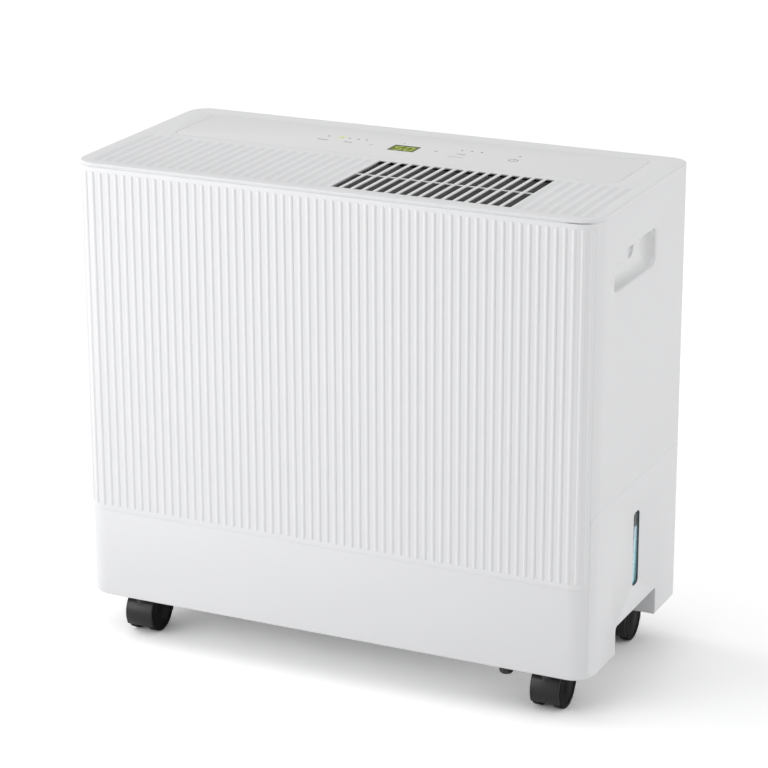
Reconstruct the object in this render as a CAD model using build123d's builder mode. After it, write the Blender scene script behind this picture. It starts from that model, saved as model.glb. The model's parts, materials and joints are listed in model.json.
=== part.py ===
from build123d import *

import os
from math import cos, pi, sin

# Free-standing compressor dehumidifier on four swivel casters, all lengths in millimetres.
# Frame: origin on the floor under the middle of the body, +X right, +Y back, +Z up.

# Body
body_width = 500.0
body_depth = 234.0
body_height = 412.0
floor_gap = 43.0
front_radius = 22.0
rear_radius = 19.5
lid_edge = 4.0
lid_round = 2.6
lid_overhang = 1.2
shell_wall = 2.6
seam_gap = 0.5
seam_inset = 13.5
fit = 0.4
touch = 0.1

# Beaded front
bead_pitch = 7.9
bead_width = 4.0
bead_height = 1.1
bead_top_drop = 7.5
bead_bottom_drop = 323.5
plinth_drop = 328.5
corner_beads = 2
bottom_round = 1.8

# Side handles, measured from the front face and down from the lid
handle_front = 42.0
handle_length = 101.0
handle_drop = 41.0
handle_height = 30.0
handle_corner = 5.0
handle_depth = 36.0
handle_wall = 2.0
handle_edge_round = 1.6
tongue_length = 55.0
tongue_height = 13.5
tongue_corner = 8.0
tongue_root = 3.0
tongue_hole = 10.0
tongue_hole_front = 79.3
tongue_hole_drop = 44.8

# Lid: grooves, outlet slots and control inlay, measured from the front face
groove_pitch = 10.25
groove_width = 5.2
groove_depth = 1.3
groove_front = 14.0
groove_length = 102.0
grooves_left = 22
grooves_right = 7
outlet_x = 84.75
slot_columns = 16
slot_margin = 3.0
slot_bar = 4.0
inlay_width = 436.5
inlay_front = 130.0
inlay_depth = 84.0
inlay_thick = 1.6
inlay_corner = 9.0
inlay_gap = 0.25
window_x = -0.75
window_width = 23.5
window_depth = 16.0
window_front = 158.0
rim_height = 5.0
rim_wall = 2.0

# Base pan
pan_wall = 3.0
pan_side = 12.0
grip_length = 103.0
grip_height = 26.0
rail_wall = 2.0
chamber_width = 204.0
partition_wall = 3.0

# Tank
tank_drop = 261.0
tank_wall = 2.2
tank_corner = 6.0
tank_gap = 5.0
tank_headroom = 5.0
tank_lid_thick = 2.5
tank_face_corner = 9.0
spandrel_drop = 6.0
tank_inlet = 40.0
grip_corner = 4.0
sight_front = 107.0
sight_width = 15.0
sight_height = 76.0
sight_drop = 288.0
sight_corner = 4.5
sight_thick = 1.2

# Float in the tank
float_length = 60.0
float_width = 34.0
float_height = 22.0
float_arm = 18.0
float_drop = 36.0
float_pin = 4.0
float_ear = 3.0
pin_clearance = 0.05

# Deck and drip spout
deck_gap = 2.0
deck_wall = 3.0
deck_rim = 6.0
spout_radius = 7.0
spout_wall = 1.6

# Coils
coil_headroom = 16.0
coil_margin = 25.0
coil_right = 44.0
evaporator_depth = 22.0
condenser_depth = 26.0
coil_gap = 6.0
fin_pitch = 6.0
fin_slot = 4.2
fin_depth = 5.0
tube_radius = 4.0
tube_sides = 8
bend_pitch = 36.0
coil_rows = 6
pipe_bend = 12.0
pipe_clearance = 2.0
suction_rise = 94.0

# Intake
filter_thick = 6.0
filter_border = 8.0
mesh_thick = 0.8
grille_border = 9.0
grille_pitch = 8.0
grille_bar = 3.2
grille_stile = 6.0
grille_columns = 3
intake_corner = 6.0

# Fan
scroll_wall = 2.4
scroll_left = 83.0
scroll_right = 89.0
wheel_radius = 73.0
wheel_inner = 57.0
wheel_width = 74.0
blade_count = 30
blade_thick = 1.4
hub_radius = 40.0
motor_radius = 34.0
motor_length = 40.0
shaft_radius = 4.0
inlet_radius = 60.0
inlet_lip = 10.0
cutoff_gap = 5.0
cutoff_angle = 50.0
cutoff_rise = 100.0
scroll_foot = 70.0
wheel_gap = 10.0
blade_chord = 17.0
blade_angle = 35.0
ring_wall = 4.0
ring_width = 5.0
hub_wall = 2.0
hub_gap = 5.0
hub_boss_radius = 9.0
hub_boss_length = 8.0
motor_round = 4.0
motor_back = 4.0
guard_drop = 12.0
guard_thick = 4.0
guard_bar = 2.0
guard_columns = 8
guard_rows = 5

# Compressor
compressor_radius = 49.0
compressor_height = 168.0
compressor_inset = 102.0
dome_radius = 14.0
dome_width = 9.0
dome_crown = 4.0
foot_thick = 3.0
grommet_radius = 9.0
grommet_height = 10.0
accumulator_radius = 18.0
accumulator_height = 105.0
accumulator_round = 9.0
discharge_offset = 16.0

# Electrics
board_thick = 1.6
display_board_width = 250.0
display_board_depth = 50.0
standoff_height = 3.0
standoff_radius = 3.5
box_depth = 34.0
box_gap = 5.2
box_height = 88.0
box_wall = 2.0
box_rise = 40.0
relay_height = 14.0
relay_size = 18.0
capacitor_radius = 15.0
strap_wall = 1.2
strap_width = 12.0
capacitor_length = 74.0
cord_inlet_width = 34.0
cord_inlet_height = 26.0
cord_inlet_depth = 22.0
socket_border = 5.0
socket_back = 5.0
cord_inlet_z = 90.0
cord_inlet_inset = 44.0
inlet_corner = 3.0
screw_radius = 3.5
screw_head = 1.1
screw_shank = 1.8
screw_length = 8.0
screw_inset = 35.0
screw_end = 60.0

# Casters
caster_inset_x = 46.0
front_stem = 21.0
rear_stem = 49.0
caster_trail = 14.0
caster_width = 26.0
caster_wheel_radius = 20.0
caster_wheel_width = 7.0
wheel_shoulder = 2.4
hood_width = 25.0
hood_gap = 0.6
hood_wall = 1.4
hood_back_angle = -20.0
hood_front_angle = 210.0
boss_radius = 5.4
boss_low = 27.0
stem_radius = 4.0
stem_length = 19.0
socket_radius = 9.0
axle_radius = 2.5
axle_recess = 2.0
hood_hub = 7.0
swivel_gap = 0.3

# Drain under the base
drain_x = 156.0
drain_front = 43.0
nipple_radius = 4.5
nipple_bore = 2.8
nipple_length = 24.0
collar_height = 3.0
cap_radius = 6.6
cap_height = 16.0
cap_floor = 2.0
cap_round = 3.0

# Derived outline
half_width = body_width / 2
half_depth = body_depth / 2
top_z = floor_gap + body_height
lid_z = top_z - lid_edge
shell_x = half_width - lid_overhang
shell_y = half_depth - lid_overhang
inner_x = shell_x - shell_wall
inner_y = shell_y - shell_wall
seam_y = half_depth - seam_inset
panel_y = seam_y - touch
tank_edge_y = seam_y - seam_gap
core_x = inner_x - fit
core_y = inner_y - fit
seam_z = top_z - plinth_drop
tank_seam_z = top_z - tank_drop

# Derived base and bay heights
channel_half = grip_length / 2
channel_z = floor_gap + grip_height
pan_top = channel_z + pan_wall
trough_half = channel_half + pan_wall
partition_x = -half_width + chamber_width
bay_x = partition_x + partition_wall
deck_z = tank_seam_z + deck_gap
deck_top = deck_z + deck_wall
tank_floor = pan_top + fit
tank_lid_top = deck_z - tank_headroom
tank_top = tank_lid_top - tank_lid_thick
tank_left = bay_x + tank_gap
tank_half = tank_edge_y - tank_gap
tank_width = 2 * tank_half
rail_y = tank_half + fit

# Derived air path, from the rear wall forward
grille_back = shell_y - shell_wall
filter_back = grille_back
filter_front_y = filter_back - filter_thick
evaporator_back = filter_front_y - mesh_thick - coil_gap
evaporator_front = evaporator_back - evaporator_depth
condenser_back = evaporator_front - coil_gap
condenser_front = condenser_back - condenser_depth
coil_left = bay_x + coil_margin
coil_end = inner_x - coil_right
coil_x = (coil_left + coil_end) / 2
coil_width = coil_end - coil_left
coil_top = lid_z - rim_height - coil_headroom
coil_height = coil_top - deck_top
coil_z = (coil_top + deck_top) / 2
evaporator_y = evaporator_front + evaporator_depth / 2
condenser_y = condenser_front + condenser_depth / 2
row_z = [coil_z + bend_pitch * ((coil_rows - 1) / 2 - row) for row in range(coil_rows)]
outlet_front = -half_depth + groove_front
outlet_back = outlet_front + groove_length
fan_z = deck_top + scroll_left + scroll_wall

os.makedirs("parts", exist_ok=True)


def keep(piece, node):
    """Label a finished piece and write it under its node name."""
    piece.part.label = node
    export_step(piece.part, f"parts/{node}.step")


def plan_outline(inset):
    """Body outline seen from above, drawn in from the lid's edge by inset."""
    with BuildSketch() as plan:
        Rectangle(body_width - 2 * inset, body_depth - 2 * inset)
        fillet(plan.vertices().group_by(Axis.Y)[0], front_radius - inset)
        fillet(plan.vertices().group_by(Axis.Y)[-1], rear_radius - inset)
    return plan.sketch


lid_plan = plan_outline(0)
shell_plan = plan_outline(lid_overhang)
inner_plan = plan_outline(lid_overhang + shell_wall)
core_plan = plan_outline(lid_overhang + shell_wall + fit)
core_inside_plan = plan_outline(lid_overhang + shell_wall + fit + pan_wall)
rim_plan = plan_outline(lid_overhang + shell_wall + fit + rim_wall)


def outer_low_edges(piece):
    """The lowest edges of a cover that lie on the outside of the shell."""
    low = piece.edges().group_by(Axis.Z)[0]

    def outside(edge):
        middle = edge @ 0.5
        on_flat = abs(middle.X) > shell_x - touch or abs(middle.Y) > shell_y - touch
        front_arc = edge.geom_type == GeomType.CIRCLE and edge.radius > front_radius - lid_overhang - touch
        rear_arc = (
            edge.geom_type == GeomType.CIRCLE
            and middle.Y > 0
            and edge.radius > rear_radius - lid_overhang - touch
        )
        return on_flat or front_arc or rear_arc

    return low.filter_by(outside)


# Front cover with half-round beads that wrap into the corners
front_half_flat = half_width - front_radius
bead_count = 2 * int(front_half_flat / bead_pitch + 0.5) + 1
bead_low = top_z - bead_bottom_drop
bead_high = top_z - bead_top_drop
corner_radius = front_radius - lid_overhang
corner_x = shell_x - corner_radius
corner_y = -shell_y + corner_radius
bead_radius = bead_width**2 / (8 * bead_height) + bead_height / 2
bead_sink = bead_radius - bead_height
first_corner_step = (bead_count // 2 + 1) * bead_pitch - front_half_flat
with BuildPart() as front_cover:
    with BuildSketch(Plane.XY.offset(seam_z)):
        add(shell_plan)
        add(inner_plan, mode=Mode.SUBTRACT)
        with Locations((0, -half_depth)):
            Rectangle(body_width, 2 * seam_inset, mode=Mode.INTERSECT)
    extrude(amount=lid_z - seam_z)
    with BuildSketch(Plane.XY.offset(bead_low)):
        with Locations((0, -shell_y + bead_sink)):
            with GridLocations(bead_pitch, bead_pitch, bead_count, 1):
                Circle(bead_radius)
        for bead in range(corner_beads):
            turn = (first_corner_step + bead * bead_pitch) / corner_radius
            reach = corner_radius - bead_sink
            for side in (-1, 1):
                with Locations((side * (corner_x + reach * sin(turn)), corner_y - reach * cos(turn))):
                    Circle(bead_radius)
        add(inner_plan, mode=Mode.SUBTRACT)
    extrude(amount=bead_high - bead_low)
keep(front_cover, "front_cover")

# Smooth plinth under the beaded front
with BuildPart() as plinth_cover:
    with BuildSketch(Plane.XY.offset(floor_gap)):
        add(shell_plan)
        add(inner_plan, mode=Mode.SUBTRACT)
        with Locations((0, -half_depth)):
            Rectangle(body_width, 2 * seam_inset, mode=Mode.INTERSECT)
    extrude(amount=seam_z - seam_gap - floor_gap)
    fillet(outer_low_edges(plinth_cover), bottom_round)
keep(plinth_cover, "plinth_cover")

# Side handle openings: a hand slot with a tongue at its front upper corner
handle_y = -half_depth + handle_front + handle_length / 2
handle_z = top_z - handle_drop - handle_height / 2
tongue_y = -half_depth + handle_front + tongue_length
tongue_z = top_z - handle_drop - tongue_height
with BuildSketch() as handle_slot:
    with Locations((handle_y, handle_z)):
        RectangleRounded(handle_length, handle_height, handle_corner)
    with Locations((tongue_y - tongue_length / 2, tongue_z + tongue_height / 2)):
        Rectangle(tongue_length, tongue_height, mode=Mode.SUBTRACT)
    tongue_tip = handle_slot.vertices().sort_by_distance((tongue_y, tongue_z, 0))[0]
    fillet(tongue_tip, tongue_corner)
    slot_corner = handle_slot.vertices().sort_by_distance((tongue_y - tongue_length, tongue_z, 0))[0]
    fillet(slot_corner, tongue_root)
    with Locations((-half_depth + tongue_hole_front, top_z - tongue_hole_drop)):
        Circle(tongue_hole / 2)


def side_panel(side, low_z):
    """One flat side wall between the front and rear covers, with its hand slot."""
    with BuildPart() as panel:
        with BuildSketch(Plane.XY.offset(low_z)):
            add(shell_plan)
            add(inner_plan, mode=Mode.SUBTRACT)
            with Locations((side * half_width, 0)):
                Rectangle(body_width, 2 * panel_y, mode=Mode.INTERSECT)
        extrude(amount=lid_z - low_z)
        with BuildSketch(Plane.YZ.offset(side * (inner_x - shell_wall))):
            add(handle_slot.sketch)
        extrude(amount=side * 3 * shell_wall, mode=Mode.SUBTRACT)
        rim = panel.faces().sort_by(Axis.X)[-1 if side > 0 else 0].inner_wires()
        chamfer(ShapeList([edge for wire in rim for edge in wire.edges()]), handle_edge_round)
        if side > 0:
            with BuildSketch(Plane.YZ.offset(inner_x - shell_wall)):
                with Locations((0, tank_seam_z - half_width)):
                    RectangleRounded(2 * seam_y, body_width, tank_face_corner + seam_gap)
            extrude(amount=3 * shell_wall, mode=Mode.SUBTRACT)
        else:
            fillet(outer_low_edges(panel), bottom_round)
    return panel


# The right panel stops above the tank, and its lower corners follow the tank's rounded ones
keep(side_panel(1, tank_seam_z - spandrel_drop), "right_side_panel")
keep(side_panel(-1, floor_gap), "left_side_panel")


def handle_cup(side):
    """Moulded hand pocket behind one hand slot."""
    with BuildPart() as cup:
        with BuildSketch(Plane.YZ.offset(side * inner_x)):
            with Locations((handle_y, handle_z)):
                RectangleRounded(
                    handle_length + 2 * handle_wall,
                    handle_height + 2 * handle_wall,
                    handle_corner + handle_wall,
                )
        extrude(amount=-side * handle_depth)
        with BuildSketch(Plane.YZ.offset(side * inner_x)):
            with Locations((handle_y, handle_z)):
                RectangleRounded(handle_length, handle_height, handle_corner)
        extrude(amount=-side * (handle_depth - handle_wall), mode=Mode.SUBTRACT)
    return cup


keep(handle_cup(1), "right_handle_cup")
keep(handle_cup(-1), "left_handle_cup")

# Lid with half-round grooves, outlet slots, inlay recess and locating rim
groove_y = (outlet_front + outlet_back) / 2
slot_length = (groove_length - 2 * slot_margin - slot_bar) / 2
groove_radius = groove_width**2 / (8 * groove_depth) + groove_depth / 2
groove_columns = grooves_left + slot_columns + grooves_right
groove_x = outlet_x + (grooves_right - grooves_left) / 2 * groove_pitch
inlay_y = -half_depth + inlay_front + inlay_depth / 2
window_y = -half_depth + window_front + window_depth / 2
with BuildPart() as top_cover:
    with BuildSketch(Plane.XY.offset(lid_z)):
        add(lid_plan)
    extrude(amount=lid_edge)
    fillet(top_cover.faces().sort_by(Axis.Z)[-1].edges(), lid_round)
    with BuildSketch(Plane.XZ.offset(-outlet_front)):
        with Locations((groove_x, top_z - groove_depth + groove_radius)):
            with GridLocations(groove_pitch, groove_pitch, groove_columns, 1):
                Circle(groove_radius)
    extrude(amount=-groove_length, mode=Mode.SUBTRACT)
    with BuildSketch(Plane.XY.offset(top_z)):
        with Locations((outlet_x, groove_y)):
            with GridLocations(groove_pitch, slot_length + slot_bar, slot_columns, 2):
                Rectangle(groove_width, slot_length)
    extrude(amount=-lid_edge, mode=Mode.SUBTRACT)
    with BuildSketch(Plane.XY.offset(top_z)):
        with Locations((0, inlay_y)):
            RectangleRounded(inlay_width, inlay_depth, inlay_corner)
    extrude(amount=-inlay_thick, mode=Mode.SUBTRACT)
    with BuildSketch(Plane.XY.offset(lid_z)):
        add(core_plan)
        add(rim_plan, mode=Mode.SUBTRACT)
    extrude(amount=-rim_height)
    with BuildSketch(Plane.XY.offset(lid_z)):
        with Locations((0, inlay_y)):
            with GridLocations(
                display_board_width - 4 * standoff_radius, display_board_depth - 4 * standoff_radius, 2, 2
            ):
                Circle(standoff_radius)
    extrude(amount=-standoff_height)
keep(top_cover, "top_cover")

# Flush control inlay and its display window
with BuildPart() as control_inlay:
    with BuildSketch(Plane.XY.offset(top_z - inlay_thick)):
        with Locations((0, inlay_y)):
            RectangleRounded(
                inlay_width - 2 * inlay_gap, inlay_depth - 2 * inlay_gap, inlay_corner - inlay_gap
            )
        with Locations((window_x, window_y)):
            Rectangle(window_width, window_depth, mode=Mode.SUBTRACT)
    extrude(amount=inlay_thick)
keep(control_inlay, "control_inlay")

with BuildPart() as display_window:
    with BuildSketch(Plane.XY.offset(top_z - inlay_thick)):
        with Locations((window_x, window_y)):
            Rectangle(window_width - 2 * touch, window_depth - 2 * touch)
    extrude(amount=inlay_thick - touch)
keep(display_window, "display_window")

with BuildPart() as display_board:
    with BuildSketch(Plane.XY.offset(lid_z - standoff_height - board_thick)):
        with Locations((0, inlay_y)):
            Rectangle(display_board_width, display_board_depth)
    extrude(amount=board_thick)
keep(display_board, "display_board")

# Rear cover with the intake opening and the power inlet
intake_width = coil_width
intake_height = coil_height - 2 * grille_border
inlet_x = -half_width + cord_inlet_inset
inlet_z = floor_gap + cord_inlet_z
screw_x = half_width - screw_inset
screw_levels = [floor_gap + screw_end, top_z - screw_end]
screw_spots = [(side * screw_x, z) for side in (-1, 1) for z in screw_levels]
with BuildPart() as rear_cover:
    with BuildSketch(Plane.XY.offset(floor_gap)):
        add(shell_plan)
        add(inner_plan, mode=Mode.SUBTRACT)
        with Locations((0, half_depth)):
            Rectangle(body_width, 2 * seam_inset, mode=Mode.INTERSECT)
    extrude(amount=lid_z - floor_gap)
    fillet(outer_low_edges(rear_cover), bottom_round)
    with BuildSketch(Plane.XZ.offset(-half_depth)):
        with Locations((coil_x, coil_z)):
            RectangleRounded(intake_width, intake_height, intake_corner)
        with Locations((inlet_x, inlet_z)):
            RectangleRounded(cord_inlet_width, cord_inlet_height, inlet_corner)
        with Locations(*screw_spots):
            Circle(screw_shank + touch)
    extrude(amount=lid_overhang + 2 * shell_wall, mode=Mode.SUBTRACT)
keep(rear_cover, "rear_cover")

with BuildPart() as power_inlet:
    with BuildSketch(Plane.XZ.offset(-shell_y)):
        with Locations((inlet_x, inlet_z)):
            RectangleRounded(
                cord_inlet_width - 2 * touch, cord_inlet_height - 2 * touch, inlet_corner - touch
            )
    extrude(amount=cord_inlet_depth)
    with BuildSketch(Plane.XZ.offset(-shell_y)):
        with Locations((inlet_x, inlet_z)):
            RectangleRounded(
                cord_inlet_width - 2 * socket_border, cord_inlet_height - 2 * socket_border, inlet_corner
            )
    extrude(amount=cord_inlet_depth - socket_back, mode=Mode.SUBTRACT)
keep(power_inlet, "power_inlet")

# Intake cassette: louvred grille, filter frame and filter mesh, pulled straight back
grille_span = intake_width - 2 * fit - 2 * grille_border
cell_width = (grille_span - (grille_columns - 1) * grille_stile) / grille_columns
grille_rows = int((intake_height - 2 * fit - 2 * grille_border) / grille_pitch)
with BuildPart() as intake_grille:
    with BuildSketch(Plane.XZ.offset(-shell_y)):
        with Locations((coil_x, coil_z)):
            RectangleRounded(intake_width - 2 * fit, intake_height - 2 * fit, intake_corner - fit)
            with GridLocations(cell_width + grille_stile, grille_pitch, grille_columns, grille_rows):
                Rectangle(cell_width, grille_pitch - grille_bar, mode=Mode.SUBTRACT)
    extrude(amount=shell_wall)
keep(intake_grille, "intake_grille")

filter_width = intake_width - 4 * fit
filter_height = intake_height - 4 * fit
with BuildPart() as filter_frame:
    with BuildSketch(Plane.XZ.offset(-filter_back)):
        with Locations((coil_x, coil_z)):
            Rectangle(filter_width, filter_height)
            with GridLocations((filter_width - filter_border) / 2, (filter_height - filter_border) / 2, 2, 2):
                Rectangle(
                    (filter_width - 3 * filter_border) / 2,
                    (filter_height - 3 * filter_border) / 2,
                    mode=Mode.SUBTRACT,
                )
    extrude(amount=filter_thick)
keep(filter_frame, "filter_frame")

with BuildPart() as filter_mesh:
    with BuildSketch(Plane.XZ.offset(-filter_front_y)):
        with Locations((coil_x, coil_z)):
            Rectangle(filter_width - filter_border, filter_height - filter_border)
    extrude(amount=mesh_thick)
keep(filter_mesh, "filter_mesh")

# Base pan: two troughs that carry the casters, with a raised channel between them
stem_x = half_width - caster_inset_x
front_stem_y = -half_depth + front_stem
rear_stem_y = half_depth - rear_stem
stems = [(side * stem_x, y) for y in (front_stem_y, rear_stem_y) for side in (-1, 1)]
socket_top = floor_gap + stem_length + 2 * pin_clearance + pan_wall
rail_end = core_x - front_radius
drain_y = -half_depth + drain_front
with BuildPart() as base_pan:
    with BuildSketch(Plane.XY.offset(floor_gap)):
        add(core_plan)
    extrude(amount=pan_top + pan_side - floor_gap)
    with BuildSketch(Plane.XY.offset(pan_top)):
        add(core_inside_plan)
        with Locations((core_x, 0)):
            Rectangle(2 * front_radius, body_depth)
    extrude(amount=pan_side, mode=Mode.SUBTRACT)
    with BuildSketch(Plane.XY.offset(floor_gap + pan_wall)):
        add(core_inside_plan)
        Rectangle(body_width, 2 * trough_half, mode=Mode.SUBTRACT)
    extrude(amount=pan_top - floor_gap - pan_wall, mode=Mode.SUBTRACT)
    with BuildSketch(Plane.XY.offset(floor_gap)):
        Rectangle(body_width, grip_length)
    extrude(amount=grip_height, mode=Mode.SUBTRACT)
    with BuildSketch(Plane.XY.offset(floor_gap)):
        with Locations(((bay_x + rail_end) / 2, 0)):
            with GridLocations(1, 2 * rail_y + rail_wall, 1, 2):
                Rectangle(rail_end - bay_x, rail_wall)
    extrude(amount=pan_top + pan_side - floor_gap)
    with BuildSketch(Plane.XY.offset(floor_gap)):
        with Locations(*stems):
            Circle(socket_radius)
    extrude(amount=socket_top - floor_gap)
    with BuildSketch(Plane.XY.offset(floor_gap)):
        with Locations(*stems):
            Circle(stem_radius + pin_clearance)
    extrude(amount=socket_top - pan_wall - floor_gap, mode=Mode.SUBTRACT)
    with BuildSketch(Plane.XY.offset(floor_gap)):
        with Locations((drain_x, drain_y)):
            Circle(nipple_bore + touch)
    extrude(amount=pan_wall, mode=Mode.SUBTRACT)
keep(base_pan, "base_pan")

# Drain nipple under the front trough, with a collar against the pan
with BuildPart() as drain_nipple:
    with BuildSketch(Plane.XY.offset(floor_gap)):
        with Locations((drain_x, drain_y)):
            Circle(cap_radius)
    extrude(amount=-collar_height)
    with BuildSketch(Plane.XY.offset(floor_gap)):
        with Locations((drain_x, drain_y)):
            Circle(nipple_radius)
    extrude(amount=-nipple_length)
    with BuildSketch(Plane.XY.offset(floor_gap)):
        with Locations((drain_x, drain_y)):
            Circle(nipple_bore)
    extrude(amount=-nipple_length, mode=Mode.SUBTRACT)
keep(drain_nipple, "drain_nipple")

# Soft cap over the drain nipple
cap_top = floor_gap - nipple_length - cap_floor + cap_height
with BuildPart() as drain_cap:
    with BuildSketch(Plane.XY.offset(cap_top)):
        with Locations((drain_x, drain_y)):
            Circle(cap_radius)
    extrude(amount=-cap_height)
    chamfer(drain_cap.faces().sort_by(Axis.Z)[0].edges(), cap_round)
    with BuildSketch(Plane.XY.offset(cap_top)):
        with Locations((drain_x, drain_y)):
            Circle(nipple_radius + pin_clearance)
    extrude(amount=-cap_height + cap_floor - touch, mode=Mode.SUBTRACT)
keep(drain_cap, "drain_cap")

# Partition between the compressor chamber and the tank bay
partition_half = core_y - pan_wall - fit
partition_top = lid_z - rim_height - fit
with BuildPart() as partition:
    with BuildSketch(Plane.YZ.offset(partition_x)):
        with Locations((0, (pan_top + partition_top) / 2)):
            Rectangle(2 * partition_half, partition_top - pan_top)
        with Locations((evaporator_y, row_z[0]), (condenser_y, row_z[0])):
            Circle(tube_radius + pipe_clearance, mode=Mode.SUBTRACT)
    extrude(amount=partition_wall)
keep(partition, "partition")

# Deck over the tank, with an upstand and the drip spout
spout_x = coil_x
spout_y = (condenser_front + evaporator_back) / 2
with BuildPart() as drip_deck:
    with BuildSketch(Plane.XY.offset(deck_z)):
        add(core_plan)
        with Locations((bay_x + half_width, 0)):
            Rectangle(body_width, body_depth, mode=Mode.INTERSECT)
    extrude(amount=deck_wall + deck_rim)
    with BuildSketch(Plane.XY.offset(deck_top)):
        add(rim_plan)
        with Locations((bay_x + rim_wall + half_width, 0)):
            Rectangle(body_width, body_depth, mode=Mode.INTERSECT)
    extrude(amount=deck_rim, mode=Mode.SUBTRACT)
    with BuildSketch(Plane.XY.offset(deck_z)):
        with Locations((spout_x, spout_y)):
            Circle(spout_radius)
    extrude(amount=-tank_headroom / 2)
    with BuildSketch(Plane.XY.offset(deck_top)):
        with Locations((spout_x, spout_y)):
            Circle(spout_radius - spout_wall)
    extrude(amount=-deck_wall - tank_headroom / 2, mode=Mode.SUBTRACT)
keep(drip_deck, "drip_deck")

# Water tank: open box with two ears for the float's pivot
tank_length = inner_x - tank_left
tank_x = (inner_x + tank_left) / 2
ear_y = float_width / 2 + fit
ear_length = float_arm
pivot_x = tank_left + tank_wall + ear_length / 2
pivot_z = tank_top - float_drop
with BuildPart() as tank_body:
    with BuildSketch(Plane.XY.offset(tank_floor)):
        with Locations((tank_x, 0)):
            RectangleRounded(tank_length, tank_width, tank_corner)
    extrude(amount=tank_top - tank_floor)
    with BuildSketch(Plane.XY.offset(tank_floor + tank_wall)):
        with Locations((tank_x, 0)):
            RectangleRounded(tank_length - 2 * tank_wall, tank_width - 2 * tank_wall, tank_corner - tank_wall)
    extrude(amount=tank_top - tank_floor - tank_wall, mode=Mode.SUBTRACT)
    with BuildSketch(Plane.XY.offset(pivot_z - ear_length / 2)):
        with Locations((tank_left + tank_wall / 2 + ear_length / 2, 0)):
            with GridLocations(1, 2 * ear_y + float_ear, 1, 2):
                Rectangle(ear_length + tank_wall, float_ear)
    extrude(amount=ear_length)
    with Locations(Location((pivot_x, 0, pivot_z), (90, 0, 0))):
        Cylinder(float_pin / 2 + pin_clearance, 2 * (ear_y + float_ear + touch), mode=Mode.SUBTRACT)
keep(tank_body, "tank_body")

sight_y = -half_depth + sight_front + sight_width / 2
sight_z = top_z - sight_drop - sight_height / 2
with BuildPart() as tank_front:
    with BuildSketch(Plane.XY.offset(floor_gap)):
        add(shell_plan)
        add(inner_plan, mode=Mode.SUBTRACT)
        with Locations((half_width, 0)):
            Rectangle(body_width, 2 * tank_edge_y, mode=Mode.INTERSECT)
    extrude(amount=tank_seam_z - seam_gap - floor_gap)
    fillet(outer_low_edges(tank_front), bottom_round)
    fillet(tank_front.edges().filter_by(Axis.X).group_by(Axis.Z)[-1], tank_face_corner)
    with BuildSketch(Plane.YZ.offset(inner_x - shell_wall)):
        with Locations((0, floor_gap)):
            RectangleRounded(grip_length, 2 * grip_height, grip_corner)
        with Locations((sight_y, sight_z)):
            RectangleRounded(sight_width, sight_height, sight_corner)
    extrude(amount=3 * shell_wall, mode=Mode.SUBTRACT)
keep(tank_front, "tank_front")

with BuildPart() as tank_window:
    with BuildSketch(Plane.YZ.offset(inner_x)):
        with Locations((sight_y, sight_z)):
            RectangleRounded(sight_width - 2 * touch, sight_height - 2 * touch, sight_corner - touch)
    extrude(amount=sight_thick)
keep(tank_window, "tank_window")

with BuildPart() as tank_lid:
    with BuildSketch(Plane.XY.offset(tank_top)):
        with Locations((tank_x, 0)):
            RectangleRounded(tank_length, tank_width, tank_corner)
        with Locations((spout_x, spout_y)):
            Circle(tank_inlet / 2, mode=Mode.SUBTRACT)
    extrude(amount=tank_lid_thick)
keep(tank_lid, "tank_lid")

# Float paddle on its own pins, hanging at its lower stop
float_x = pivot_x + ear_length / 2 + float_length / 2 + fit
with BuildPart() as tank_float:
    with BuildSketch(Plane.XY.offset(pivot_z - float_height / 2)):
        with Locations((float_x, 0)):
            RectangleRounded(float_length, float_width, float_pin)
    extrude(amount=float_height)
    with BuildSketch(Plane.XY.offset(pivot_z - float_pin)):
        with Locations(((pivot_x + float_x) / 2, 0)):
            Rectangle(float_x - pivot_x, float_width)
    extrude(amount=2 * float_pin)
    with Locations(Location((pivot_x, 0, pivot_z), (90, 0, 0))):
        Cylinder(float_pin, float_width)
        Cylinder(float_pin / 2, 2 * (ear_y + float_ear))
keep(tank_float, "tank_float")

with BuildPart() as level_switch:
    with BuildSketch(Plane.YZ.offset(partition_x)):
        with Locations((0, pivot_z)):
            RectangleRounded(float_width, float_height, float_pin)
    extrude(amount=-float_height / 2)
keep(level_switch, "level_switch")


def fin_pack(front_y, depth):
    """Finned coil block: vertical fins on both faces round a core."""
    with BuildPart() as pack:
        with BuildSketch(Plane.XY.offset(deck_top)):
            with Locations((coil_x, front_y + depth / 2)):
                Rectangle(coil_width, depth)
                with GridLocations(fin_pitch, depth - fin_depth, int(coil_width / fin_pitch) - 1, 2):
                    Rectangle(fin_slot, fin_depth, mode=Mode.SUBTRACT)
        extrude(amount=coil_height)
    return pack


keep(fin_pack(evaporator_front, evaporator_depth), "evaporator_fins")
keep(fin_pack(condenser_front, condenser_depth), "condenser_fins")


def return_bends(y):
    """Half-round copper bends that join the tube rows of one coil at both ends."""
    with BuildPart() as bends:
        for row in range(coil_rows - 1):
            end_x, turn = (coil_left, -180) if row % 2 else (coil_end, 180)
            with BuildSketch(Plane.YZ.offset(end_x)):
                with Locations((y, row_z[row])):
                    RegularPolygon(tube_radius, tube_sides)
            revolve(axis=Axis((end_x, y, row_z[row] - bend_pitch / 2), (0, 1, 0)), revolution_arc=turn)
    return bends


keep(return_bends(evaporator_y), "evaporator_bends")
keep(return_bends(condenser_y), "condenser_bends")

# Liquid line: a flat bend from the last condenser row to the last evaporator row
with BuildPart() as liquid_line:
    with BuildSketch(Plane.YZ.offset(coil_left)):
        with Locations((condenser_y, row_z[-1])):
            RegularPolygon(tube_radius, tube_sides)
    revolve(axis=Axis((coil_left, (condenser_y + evaporator_y) / 2, 0), (0, 0, 1)), revolution_arc=-180)
keep(liquid_line, "liquid_line")

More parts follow.
